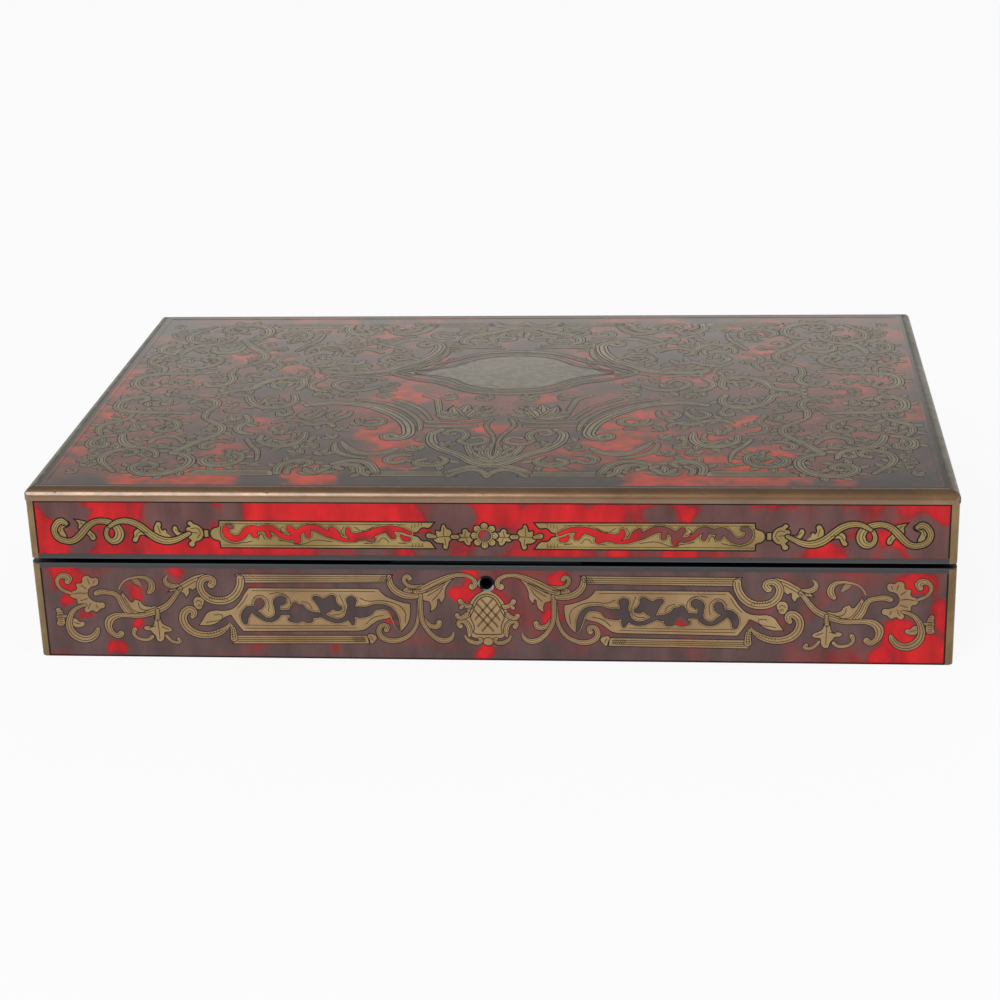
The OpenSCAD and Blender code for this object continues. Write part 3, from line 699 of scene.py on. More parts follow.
# %% Layers of a panel
HAIR = 0.0018
FIRST_LIFT = 0.010
LINE_LIFT = 0.0985
LINED_WIDTH = 0.9
FAINT_WIDTH = 0.02
ENGRAVED_LIFT = 1.6 * HAIR


def layers_of(steps, lift, spread, gap=2 * HAIR):
    for order, step in enumerate(steps):
        if step["strokes"]:
            yield lift + order * gap, strokes_mesh(step["strokes"], spread=spread)
        for points in step["plates"]:
            yield lift + order * gap, plate_mesh(points, spread)


def line_layers(steps, lines):
    for order, step in enumerate(steps):
        lined = [[p if p[2] > LINED_WIDTH else (*p[:2], FAINT_WIDTH) for p in points]
                 for points in step["strokes"]]
        lift = FIRST_LIFT + 2 * order * HAIR + ENGRAVED_LIFT
        if lined:
            yield lift, strokes_mesh(lined, graver_nib, ends_round=False)
    if lines:
        yield LINE_LIFT, strokes_mesh(lines, ends_round=False)


print("panel layers end", LINE_LIFT, "mm above the shell")

# %% Lay one finish
SEAM = 1e-7


def lay(name, body, finish, layers, place, mirrored):
    form = bmesh.new()
    for lift, mesh in layers:
        mesh.transform(Matrix.Translation((0, 0, lift * MM)))
        form.from_mesh(mesh)
        bpy.data.meshes.remove(mesh)
    if mirrored:
        middle = {"plane_co": (0, 0, 0), "plane_no": (1, 0, 0), "clear_outer": True}
        bmesh.ops.bisect_plane(form, geom=form.verts[:] + form.edges[:] + form.faces[:], **middle)
        bmesh.ops.mirror(form, geom=form.verts[:] + form.edges[:] + form.faces[:], axis="X", merge_dist=SEAM)
    bmesh.ops.recalc_face_normals(form, faces=form.faces[:])
    for face in form.faces:
        face.smooth = False
    bmesh.ops.transform(form, matrix=place, verts=form.verts[:])
    mesh = bpy.data.meshes.new(name)
    form.to_mesh(mesh)
    form.free()
    mesh.materials.append(finish)
    piece = bpy.data.objects.new(name, mesh)
    bpy.context.scene.collection.objects.link(piece)
    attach(piece, body)
    print(name, len(mesh.polygons), "faces")
    return piece


print("halves join within", SEAM, "m")

# %% Lay a panel
VINE_LIFT = 0.081
VINE_HAIR = 0.001
VINE_LAYER = 0.0042
VINE_EDGE = 0.25
ECHO = (0.72, 0.58)


def lay_panel(name, body, design, place, brass, shell, edge=0.3, mirrored=True):
    steps = sorted_on_steps(design["plates"], design["strokes"])
    vine_steps = sorted_on_steps(design["vine_leaves"], design["vines"])

    def vine_layers(level, spread):
        return layers_of(vine_steps, VINE_LIFT + level * VINE_LAYER, spread, VINE_HAIR)

    edges = [*layers_of(steps, FIRST_LIFT, edge), *vine_layers(2, VINE_EDGE)]
    lay(name + "_mastic", body, mastic, edges, place, mirrored)
    brasses = [*layers_of(steps, FIRST_LIFT + HAIR, 0), *vine_layers(1, ECHO[1])]
    lay(name + "_brass", body, brass, brasses, place, mirrored)
    if design["vines"]:
        lay(name + "_vines", body, shell, vine_layers(3, 0), place, mirrored)
    engraved = [*line_layers(steps, design["lines"]), *vine_layers(0, ECHO[0])]
    lay(name + "_engraving", body, engraved_line, engraved, place, mirrored)
    print(name, "uses", sum(bool(step["reaches"]) for step in steps), "steps")


print("vines start", VINE_LIFT, "mm above the shell")

# %% [markdown]
# ## The front of the base
# The front of the base reads from its ends to its middle: a leafy scroll with a ruffled flower, a strapwork
# frame that opens in volutes and holds a brass plate pierced by a vine, and a trellised shield under the
# keyhole. Each group is drawn by itself, so that the shorter end panels can use the same groups again.

# %% Base: the leafy scroll at the end
base_scroll = drawing(
    strokes=[
        [(-147.2, 24.3, 0.9), (-149.8, 25.4, 1.0), (-151.6, 27.8, 1.1), (-151, 30.2, 1.4), (-148.9, 31, 2.0),
         (-147.3, 29.9, 2.4), (-148, 28.6, 1.8)],
        [(-138.2, 24.3, 1.7), (-136.5, 24.9, 1.9), (-133.5, 24.6, 1.6), (-131.3, 24, 1.7), (-130, 22.3, 1.9),
         (-129.2, 20, 2.0), (-127.8, 17.8, 2.2), (-126.5, 16.2, 2.0)],
        [(-130.6, 8.9, 2.2), (-131.8, 8, 1.8), (-133.6, 8.9, 1.8), (-134.8, 11, 2.4), (-134.6, 13.4, 2.9),
         (-132.8, 15.3, 2.4), (-130, 16, 1.6), (-127, 15.9, 1.4), (-123, 15.9, 1.6), (-119.5, 17, 2.2),
         (-116.3, 18.2, 2.2), (-113.4, 19.9, 1.9), (-111.3, 22.2, 1.7), (-109.6, 24.6, 1.5),
         (-108, 26.5, 1.2)],
        [(-130, 25.8, 0.5), (-129, 27.7, 0.6), (-127, 29.6, 0.7), (-124.3, 30.4, 0.8), (-121.5, 30.6, 0.9),
         (-119.3, 29.8, 1.6), (-118.2, 28, 2.2), (-118.4, 26.1, 2.3), (-119.3, 24.9, 1.6)],
        [(-125, 30, 1.0), (-123.4, 28.9, 2.0), (-122.3, 27.7, 1.2), (-121.8, 27.1, 0.3)],
        [(-125.6, 10.6, 1.6), (-126.2, 9, 1.2), (-125.2, 7.4, 1.0), (-123, 6.6, 0.9), (-120.9, 6.7, 1.0),
         (-119.6, 7.8, 1.3)],
        [(-117.2, 14.8, 1.4), (-117, 16.5, 1.2), (-117, 18, 1.2)],
        [(-114.7, 8.3, 0.8), (-113.3, 6.6, 1.0), (-111.4, 5.6, 1.0), (-110, 6.2, 1.6), (-110.4, 7, 1.2)],
        [(-142.3, 19.8, 0.9), (-145, 18.9, 1.2), (-147.3, 17, 1.6), (-148.6, 14.2, 2.0), (-148.9, 11.3, 2.4),
         (-147.9, 8.8, 2.8), (-145.8, 7.1, 2.8), (-143.3, 6.6, 2.6), (-141, 7.4, 2.4), (-139.3, 9.2, 2.0),
         (-138.8, 10.6, 1.4)],
        [(-152.8, 15.2, 0.8), (-149.6, 15.4, 0.8)],
        [(-112.1, 31.4, 0.2), (-113.1, 30.2, 1.2), (-113.2, 28.8, 1.6), (-112, 27.6, 1.8), (-110, 27.2, 1.6),
         (-108.5, 27.4, 1.0)],
    ],
    plates=[
        [(-142.9, 28.2), (-142.4, 30.3), (-140.6, 31), (-139.2, 30), (-137.5, 30.2), (-137, 28.5),
         (-138, 27.3), (-139.6, 26.9), (-141, 25.2), (-141, 23), (-139.5, 21.4), (-137.4, 20.8),
         (-135.8, 20.6), (-135.7, 19), (-137.2, 18.4), (-138.6, 17.2), (-140.2, 17.8), (-142, 16.9),
         (-142.9, 18.2), (-142.2, 19.5), (-143.4, 20.4), (-144.9, 20.3), (-145.2, 22), (-147, 22.7),
         (-147.5, 24.6), (-145.7, 25.2), (-144.7, 26.2), (-144.9, 27.8)],
        [(-128.8, 24.7, SHARP), (-127.4, 22.6), (-125.6, 20.9), (-124.6, 22.1, SHARP), (-122.8, 21.3),
         (-121.8, 19.9), (-119.5, 19.2), (-117, 19.3), (-117.2, 17.4), (-121, 15.6), (-125, 15.5),
         (-127.5, 16.3), (-128, 18.5), (-128.5, 20.8), (-129.4, 22.5)],
        [(-122.3, 11.2), (-120.8, 11.9), (-119.4, 11.6), (-118.3, 13.5), (-117.8, 15.6), (-116.6, 15.6),
         (-116, 13.4), (-114.8, 12.2), (-112.9, 11.3), (-112.4, 10.4), (-113.8, 9.8), (-115.1, 9.6),
         (-115.3, 8), (-116.2, 6.2), (-117.6, 6.1), (-118.3, 8), (-119.2, 9.2), (-120, 10.2),
         (-121.6, 10.4)],
        [(-147.4, 14.4), (-146.2, 14.4), (-145.2, 13.3), (-143.7, 13.2), (-143.4, 12.2), (-144.9, 11.3),
         (-146.5, 11.2), (-147.6, 12)],
        [(-153, 18), (-152.2, 18.6), (-151.3, 18), (-150.6, 16), (-150.4, 14.2), (-150.7, 12.2),
         (-152, 11.7), (-153.2, 12.3), (-152.8, 14), (-153.2, 15.4), (-152.7, 16.6)],
        [(-112.3, 25.2, SHARP), (-110.7, 26.7), (-108.4, 28), (-106, 29.4), (-103.6, 30.8), (-101.2, 31.6),
         (-99, 31.6), (-100.4, 30), (-101.8, 28.6), (-102.8, 26.8), (-103.9, 25.9, SHARP), (-104.9, 26.6),
         (-105.3, 24.6), (-106.3, 23.2, SHARP), (-107.3, 24.9), (-108.8, 24.9), (-110.5, 25.4)],
    ],
    lines=[
        [(-141.6, 24.2), (-144, 24.4), (-146.2, 24)], [(-141.5, 26), (-143.3, 27.4)],
        [(-140.2, 27.7), (-140.7, 29.8)], [(-138.9, 28), (-138.2, 29.3)],
        [(-141.3, 22.3), (-144, 21.4)], [(-140.4, 20.6), (-141.5, 18.4)],
        [(-138.6, 20), (-138.1, 18.6)], [(-128.4, 23), (-127, 20), (-125, 17.6), (-121, 17)],
        [(-123.6, 21), (-122.8, 18.6), (-120, 17.8)], [(-117.2, 14.6), (-117, 10), (-117, 7)],
        [(-118, 12), (-120.6, 11.2)], [(-116, 11.6), (-113.4, 10.6)],
        [(-111, 25.8), (-107, 28), (-103, 30.2), (-100.4, 31)],
        [(-109, 25.6), (-105.4, 27.6), (-102.4, 29.4)], [(-147, 13), (-145, 12.4)],
        *hatching((-152.6, 12.4), (-152.4, 17.8), 7, (1.6, 0)),
    ],
)
print("base scroll:", len(base_scroll["strokes"]), "strokes", len(base_scroll["plates"]), "plates")

# %% Base: the volutes of the strapwork frame
base_volutes = drawing(
    strokes=[
        [(-97.3, 27.8, 2.4), (-96.4, 29.2, 2.2), (-97.8, 30.5, 2.0), (-99.7, 30.2, 2.2), (-101, 28.4, 2.3),
         (-101, 26.2, 2.5), (-99.8, 23.9, 2.6), (-97.6, 22.3, 2.7), (-94.9, 21.8, 2.7), (-92, 22.2, 2.7),
         (-89.4, 23.9, 2.7), (-87.7, 26.3, 2.6), (-86.9, 28.6, 2.6), (-86.8, 30.4, 2.6)],
        [(-104.7, 15.7, 1.6), (-104, 17.2, 2.2), (-105, 18.5, 2.4), (-107, 17.7, 2.6), (-108.1, 15.6, 2.7),
         (-107.8, 13, 2.7), (-106.2, 10.6, 2.7), (-103.6, 9.1, 2.5), (-100.2, 8.6, 2.4), (-96.8, 9.2, 2.3),
         (-94.2, 10.5, 1.9), (-92.3, 12.2, 1.0), (-91.6, 13.4, 0.2)],
        [(-91.7, 13, 0.4), (-90.8, 11.4, 1.6), (-90.6, 9.4, 2.0), (-90.6, 7.4, 2.4)],
    ],
    plates=[
        [(-103.9, 21.4), (-103.2, 22.9), (-101.7, 23.2), (-100.3, 22.4), (-100.4, 20.8), (-101.2, 19),
         (-102.5, 18.6), (-103.6, 19.8)],
    ],
    lines=[
        *hatching((-98.4, 23.6), (-92, 23), 8, (0.4, -1.2)),
        *hatching((-100, 9.6), (-93.6, 11), 7, (0.4, -1.0)),
        *hatching((-91.6, 11.6), (-91.4, 7), 6, (1.6, 0.3)), [(-103.2, 21), (-102, 22), (-101, 21)],
        *hatching((-102.6, 19.6), (-101, 19.4), 4, (0.4, 1)),
    ],
)
print("base volutes:", len(base_volutes["strokes"]), "strokes")

# %% Base: the framed plate with its vine
base_plate = drawing(
    strokes=[
        [(-35, 31.4, 1.6), (-34.7, 28.8, 2.0), (-33.4, 26.6, 2.2), (-31, 24.9, 2.2), (-28.2, 24.2, 2.0),
         (-25.8, 24.2, 1.6)],
        [(-36.9, 11.2, 1.8), (-36.4, 12.5, 1.4), (-37.8, 13.1, 1.5), (-39.3, 11.6, 1.7), (-39.2, 9.4, 1.8),
         (-37.4, 7.7, 1.8), (-34.6, 7.1, 1.7), (-31.6, 7.7, 1.5), (-28.8, 9.4, 1.3), (-26.8, 12, 1.2),
         (-25.7, 15.4, 1.1), (-25.4, 19, 1.0), (-25.3, 22, 0.9)],
    ],
    plates=[
        [(-88.3, 31.9, SHARP), (-33.9, 32.1, SHARP), (-36.4, 29.4, SHARP), (-85.2, 28.9, SHARP)],
        [(-91, 5.5, SHARP), (-89.4, 8.5, SHARP), (-43.6, 8.9, SHARP), (-43.2, 6, SHARP)],
        [(-43.4, 9.2), (-41.8, 9.5), (-40.4, 8.5), (-41.2, 6.8), (-42.4, 6), (-42.8, 7.4)],
        [(-84, 26.7, SHARP), (-39, 26.8, SHARP), (-37, 24.4), (-34, 22.8), (-30.4, 21.6),
         (-28.2, 21.2, SHARP), (-28.3, 17.6), (-29.4, 13.8), (-31.6, 11, SHARP), (-32.9, 13),
         (-34.6, 16.4, SHARP), (-36.6, 15.6), (-39.4, 14.9), (-42, 13.2), (-44.4, 11.4),
         (-46.5, 10.9, SHARP), (-87, 10.3, SHARP), (-89.3, 13.6), (-91, 16.6, SHARP), (-93, 15.8),
         (-96, 13.6), (-99, 12.5), (-102.4, 12.5, SHARP), (-101, 14.6), (-99.4, 17), (-97.2, 18),
         (-93.4, 18), (-90.3, 18.8), (-87.6, 21.4), (-85.6, 24.6)],
    ],
    vines=[
        [(-86.2, 13.8, 1.6), (-86.2, 16, 2.6), (-84.6, 18.4, 2.6), (-82.4, 19, 1.8), (-80.8, 20.6, 3.2),
         (-80.6, 21.4, 3.2)],
        [(-83.4, 18.6, 1.6), (-81, 16.4, 1.6), (-78.5, 14.8, 1.2), (-76, 15.2, 1.4), (-74.4, 17.2, 1.8),
         (-74.6, 19.6, 1.6), (-74.2, 21.6, 3.0), (-72.8, 22.3, 3.2)],
        [(-74.6, 17.2, 1.6), (-72.3, 17.7, 1.4), (-70, 17.6, 1.8), (-67, 17.6, 2.4)],
        [(-62, 17, 1.4), (-59.6, 16.8, 1.2), (-57, 15.6, 1.3), (-54.4, 14.6, 1.2), (-52, 14.9, 1.3),
         (-50, 16.4, 1.6), (-49, 18.4, 2.2), (-48.6, 20.6, 2.4), (-48.5, 22.4, 3.4)],
        [(-58.5, 18.4, 1.4), (-58.2, 16.6, 1.2)],
        [(-49.6, 17, 2.4), (-48.6, 14.8, 2.0), (-48.4, 13.6, 1.0)],
        [(-49, 18.4, 3.0), (-46, 18, 4.0), (-43, 18.4, 3.4), (-41, 19.7, 2.0), (-38.5, 20.1, 1.5),
         (-36, 19.7, 1.3), (-34.4, 18, 1.6), (-33.4, 15.4, 1.8), (-32.8, 12.8, 1.2), (-32.2, 11.2, 0.5)],
    ],
    vine_leaves=[
        [(-70.3, 18.2), (-69.4, 20.2), (-68.3, 21.4), (-67, 20.6), (-65.6, 20.4), (-64.8, 19.2),
         (-63.2, 18.2), (-61.6, 17.6), (-60, 17.2), (-60.2, 16), (-62.2, 15.7), (-62.6, 14.3), (-64.4, 13.9),
         (-66, 14.5), (-67.6, 13.9), (-69.8, 14.2), (-70.9, 14.9), (-70, 16.2)],
        [(-61.8, 23.4), (-60, 23.7), (-58.4, 22.8), (-57, 23.4), (-55.4, 24.3), (-54.3, 24), (-54, 22),
         (-53.2, 20.6), (-52, 19.4), (-53.8, 18.6), (-55, 19.2), (-56.4, 18.2), (-57.6, 17.6), (-58.8, 17),
         (-59.4, 18.4), (-60, 20), (-60.9, 21.6)],
    ],
    lines=[
        *[fine([(-87 + 0.8 * k, 31.3 - 0.8 * k), (-35.4, 31.4 - 0.8 * k)], 0.18) for k in range(3)],
        *[fine([(-89.4, 6.3 + 0.7 * k), (-44.2, 6.7 + 0.7 * k)], 0.18) for k in range(3)],
        *hatching((-38.6, 29.6), (-35.2, 29.6), 5, (1.4, 2.2)),
        *hatching((-48, 6.4), (-44.4, 6.6), 6, (-1, 2)), fine([(-83, 25.8), (-62, 25.8), (-40, 25.8)], 0.16),
        fine([(-86.4, 11.4), (-66, 11.6), (-47, 11.9)], 0.16),
        fine([(-86, 12.6), (-66, 12.6), (-50, 12.8)], 0.14),
        [(-83.4, 19.8), (-83, 22.4), (-80.8, 24.1), (-78.2, 23), (-77.4, 20.4), (-77.8, 18)],
        [(-77, 24.6), (-73, 25), (-70.2, 23), (-69.8, 20.6)], [(-66, 22), (-63.4, 21), (-62.4, 19)],
        [(-52.6, 24.6), (-51.6, 22), (-51, 19), (-52.6, 17.2), (-55.6, 16.8)],
        [(-45.6, 23.4), (-43, 22.2), (-38, 22.4), (-32, 20.6), (-30, 18), (-30.2, 14)],
        [(-44, 13.4), (-41, 16), (-37.6, 16.8)], [(-97, 16.4), (-94, 16), (-100, 13.4)],
        [(-88.6, 19), (-86.4, 21.4), (-84.6, 24.4)], [(-42.6, 8.8), (-41.6, 7)],
    ],
)
print("base plate:", len(base_plate["vines"]), "vine strokes")

# %% Base: the shield under the keyhole
SHIELD_MIDDLE = (-1.6, 17.2)
SHIELD_HALF = (4.6, 6.9)
TRELLIS_PITCH = 2.9
TRELLIS_PAIR = 0.24
TRELLIS_WAY = (0.62, 0.78)
TRELLIS_WIDTH = 0.17


def trellis_line(offset, lean):
    dx = TRELLIS_WAY[0] * lean
    dy = TRELLIS_WAY[1]
    a = (dx / SHIELD_HALF[0]) ** 2 + (dy / SHIELD_HALF[1]) ** 2
    b = 2 * offset * dx / SHIELD_HALF[0] ** 2
    c = (offset / SHIELD_HALF[0]) ** 2 - 1
    root = sqrt(b * b - 4 * a * c)
    ends = [(-b + sign * root) / (2 * a) for sign in (-1, 1)]
    return fine([(SHIELD_MIDDLE[0] + offset + t * dx, SHIELD_MIDDLE[1] + t * dy) for t in ends],
                TRELLIS_WIDTH)


def shield(points):
    return [(SHIELD_MIDDLE[0] + point[0], *point[1:]) for point in points]


base_arm = drawing(
    strokes=[
        [(-27.9, 30.9, 1.6), (-28.7, 31.8, 1.2), (-29.8, 31, 1.3), (-29.6, 29.2, 1.2), (-28, 28, 1.2),
         (-25.6, 27.6, 1.4), (-23.4, 28, 1.4)],
        [(-26, 26, 1.8), (-23, 27, 2.6), (-20, 28.6, 2.8), (-16.6, 30.4, 2.2), (-13.2, 31.9, 1.5),
         (-10, 32.3, 1.3), (-7.2, 31.6, 1.3), (-5.5, 29.9, 1.5), (-5.6, 28.4, 1.7), (-6.6, 27.9, 2.2)],
        [(-24.6, 24.6, 1.6), (-24.6, 21.5, 1.6), (-24.5, 18, 1.5), (-24.2, 15, 1.4), (-22.9, 12, 1.4),
         (-20.8, 9.3, 1.5), (-18.2, 7.6, 1.8), (-15.8, 7.5, 1.8), (-14.1, 8.7, 1.3), (-13.4, 10.6, 0.3)],
        [(-24, 16.4, 1.0), (-22.6, 13.8, 1.6), (-20.4, 12.6, 1.6), (-18.7, 13, 1.8), (-18.3, 14.3, 1.8)],
        shield([(-5.6, 20.4, 1.6), (-7.2, 20.6, 1.3), (-8.6, 21.6, 1.3), (-9.2, 22.5, 1.7)]),
        shield([(-8.4, 20.6, 1.0), (-9, 20, 1.2)]),
        shield([(-6.8, 17.4, 1.8), (-8.4, 16.3, 1.5), (-9.9, 16.2, 1.3), (-10.4, 17.1, 1.6)]),
        shield([(-9.4, 12.9, 1.7), (-10.1, 13.9, 1.3), (-9.2, 14.9, 1.3), (-7.6, 14.4, 1.5),
                (-6.6, 12.8, 1.6), (-6.3, 10.6, 1.5), (-6.5, 9.2, 0.8)]),
        shield([(-8, 9.6, 0.4), (-7.4, 8.2, 1.1), (-6, 7.1, 1.4), (-4.2, 6.6, 1.4), (-2.8, 6.9, 1.3),
                (-2.3, 7.8, 1.1), (-3, 8.3, 0.9)]),
    ],
    plates=[
        [(-30.2, 26), (-29.4, 27.4), (-27, 27.8), (-24, 28.2), (-22.6, 26.4), (-24, 25), (-27, 25.6)],
        [(-24.8, 24.6), (-22.5, 27.4), (-18.6, 29.4), (-15.6, 30.4), (-13.4, 30.6, SHARP), (-15.1, 28.4),
         (-16, 26), (-16.2, 23.8), (-17.4, 21.8, SHARP), (-18.2, 23.4), (-18.8, 21.2), (-19.6, 19.6),
         (-21, 18.6, SHARP), (-20.9, 20.4), (-21.6, 22.2), (-23, 22.6)],
        shield([(0.2, 26.2), (-2.3, 25.5), (-4.4, 23.8), (-5.8, 21.6), (-6.6, 19.4), (-7.6, 17.4), (-8, 16),
                (-7.4, 14.6), (-6.4, 13), (-6, 11.4), (-6.1, 10), (-5.2, 8.9), (-3.2, 8.4), (-1.2, 8.3),
                (0.2, 8.4)]),
        shield([(-1.7, 7.1), (-1.2, 8.1), (0, 8.5), (1.2, 8.1), (1.7, 7.1), (1.2, 6.1), (0, 5.7),
                (-1.2, 6.1)]),
    ],
    lines=[
        *[trellis_line(TRELLIS_PITCH * k + pair, lean)
          for k in (-1, 0, 1) for pair in (-TRELLIS_PAIR, TRELLIS_PAIR) for lean in (-1, 1)],
        shield(fine([(0, 25.3), (-2.5, 24.5), (-4.3, 22.3), (-5.6, 19.3), (-6.6, 17)], 0.3)),
        shield(fine([(0, 24.5), (-2.2, 23.6), (-3.8, 21.3), (-4.9, 18.5), (-5.8, 16.4), (-5.2, 14.6),
                     (-4.6, 12.4), (-4.8, 10.4), (-2.6, 9.9), (0, 9.8)], 0.3)),
        [(-28.6, 26.6), (-24, 26.8)], [(-23, 25.6), (-19.6, 27.8), (-15, 30)],
        [(-22, 24.4), (-18.6, 26.6), (-15.6, 29)], [(-20.4, 22.6), (-18.4, 24.8), (-16.6, 27.4)],
        *hatching((-29.6, 26), (-25, 25.8), 7, (0.5, 1.4)),
    ],
)
print("shield trellis pitch", TRELLIS_PITCH, "mm")

# %% Lay the front of the base
FRONT_OUT = -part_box("base_front_marquetry")[0].y
BASE_LEAN = 1.6
BASE_REACH = 157.0


def upright(turn, out, height=0.0):
    stood = Matrix.Translation((0, -out, height)) @ Matrix.Rotation(radians(90), 4, "X")
    return Matrix.Rotation(radians(turn), 4, "Z") @ stood


def centred(lean, reach):
    return lambda x, y: (x + lean * (1 - abs(x) / reach), y)


base_front = redrawn(together(base_scroll, base_volutes, base_plate, base_arm),
                     centred(BASE_LEAN, BASE_REACH))
lay_panel("base_front_inlay", "base", base_front, upright(0, FRONT_OUT), base_brass, vine_shell)

# %% [markdown]
# ## The front of the lid
# The lid's front is a narrow band: an S-scroll at each end, a long brass panel with a shell vine, and a
# rosette in the middle between two palmettes. The ground here is the brightest shell, so the mastic round
# the brass shows as a broad dark edge.

# %% Lid front: scroll and cup
lid_scroll = drawing(
    strokes=[
        [(-146.2, 13.2, 1.4), (-147.6, 14, 1.6), (-149.6, 12.7, 1.6), (-150.5, 10.3, 1.5),
         (-149.4, 7.8, 1.5), (-146.9, 6.6, 1.5), (-144.2, 6.7, 1.6), (-141.9, 8.2, 1.8), (-139.9, 10.4, 1.8),
         (-137.6, 12.7, 1.6), (-134.9, 14, 1.4), (-132, 14, 1.5), (-129.2, 12.9, 1.8), (-127.4, 10.9, 2.2),
         (-127.3, 8.6, 2.4), (-128.9, 6.8, 2.0), (-130.8, 6.9, 1.3), (-131.9, 8.6, 1.1), (-131.6, 10.8, 1.0),
         (-130.8, 12, 0.9)],
        [(-130.4, 12.2, 0.9), (-127.6, 13.8, 1.2), (-124.6, 14.2, 1.5), (-121.4, 13.4, 1.6),
         (-118.7, 11.6, 1.7), (-116.3, 9.4, 1.9), (-113.6, 7.6, 2.0), (-110.6, 6.8, 1.8), (-107.4, 7.2, 1.5),
         (-104.6, 8.5, 1.2), (-102.4, 9.7, 1.0)],
    ],
    plates=[
        [(-148.2, 7.6), (-148.7, 9.6), (-149.2, 11.6), (-147.9, 13.6), (-145.6, 13.9), (-144.9, 12.9),
         (-146, 12), (-147.3, 11.4), (-147, 10), (-146.4, 8.6), (-146.9, 7.2)],
        [(-142.4, 14.5, SHARP), (-140.6, 14.2), (-138.8, 13.4), (-139.9, 12), (-141.4, 11.2), (-141.4, 13)],
        [(-139.4, 9.9, SHARP), (-138, 8.4), (-137.3, 7.1), (-136.2, 7.2), (-136.1, 8.7), (-137.1, 9.9),
         (-138.5, 11.2)],
        [(-122.6, 6.9), (-121.6, 6.4), (-120.7, 7.6), (-119.9, 9), (-118.4, 9), (-116.6, 8.2), (-115.2, 8.8),
         (-116.4, 10.6), (-118.6, 11.4), (-120.6, 11.1), (-121.9, 10), (-121.9, 8.4)],
        [(-114.2, 12.6), (-113.2, 13.8), (-112.3, 13.4), (-112.4, 11.4), (-111.6, 10.4), (-110.9, 11),
         (-110.4, 9.6), (-109, 8.2), (-110.6, 7.4), (-112.8, 7.8), (-114, 9.2), (-114.6, 11)],
        [(-108, 11.6), (-107, 12.3), (-106.4, 11.2), (-105.4, 10), (-103.6, 9.9), (-102.4, 9.9),
         (-103.4, 8.8), (-106, 8.6), (-107.4, 9.8)],
        [(-103.2, 10.9), (-102.9, 11.8), (-101.6, 12.2), (-102.6, 13.4), (-101.7, 14.1), (-100.7, 13.2),
         (-99.4, 12.7), (-98, 11.6), (-97.4, 10), (-97.6, 8.6), (-98.8, 7.2), (-100.4, 6.6), (-101, 5),
         (-102.2, 4.9), (-102.6, 6), (-101.6, 7), (-102.6, 8.2), (-101.8, 9.6)],
        [(-96.9, 10.9, SHARP), (-95.6, 10.8, SHARP), (-95.6, 8.5, SHARP), (-96.9, 8.4, SHARP)],
    ],
    lines=[
        [(-148.4, 10), (-147.8, 12), (-146, 13)], [(-141, 13.8), (-140, 12.8)],
        [(-137.6, 9.6), (-136.8, 8)], [(-121.6, 8), (-120.2, 10), (-117, 9.8)],
        [(-113.4, 12.6), (-112.6, 9.6)], [(-107.2, 11.2), (-105, 9.4)],
        [(-101.6, 11.4), (-99.4, 11.6), (-98.4, 9.8), (-99.6, 8)], [(-101.4, 10), (-99.4, 9.8)],
    ],
)
print("lid scroll:", len(lid_scroll["plates"]), "leaves")

# %% Lid front: panel with its vine
PLATE_HEAD = [(-94.7, 9.6), (-94.3, 10.8), (-93.2, 11.6), (-92.1, 11.9), (-91.4, 12.4, SHARP),
              (-91.2, 14.2, SHARP)]
PLATE_FORK = [(-16.4, 14, SHARP), (-18, 12.3), (-20.3, 12.4), (-22, 10.8, SHARP), (-24, 9.8),
              (-22, 8.7, SHARP), (-20.6, 7.2), (-18.2, 7), (-16.3, 4.7, SHARP)]
PLATE_FOOT = [(-91.3, 4.6, SHARP), (-91.4, 6.7, SHARP), (-92.1, 7.2), (-93.2, 7.5), (-94.3, 8.3)]


def long_plate(shorter=0):
    head, foot = [[(x + shorter, *rest) for x, *rest in points] for points in (PLATE_HEAD, PLATE_FOOT)]
    return head + PLATE_FORK + foot


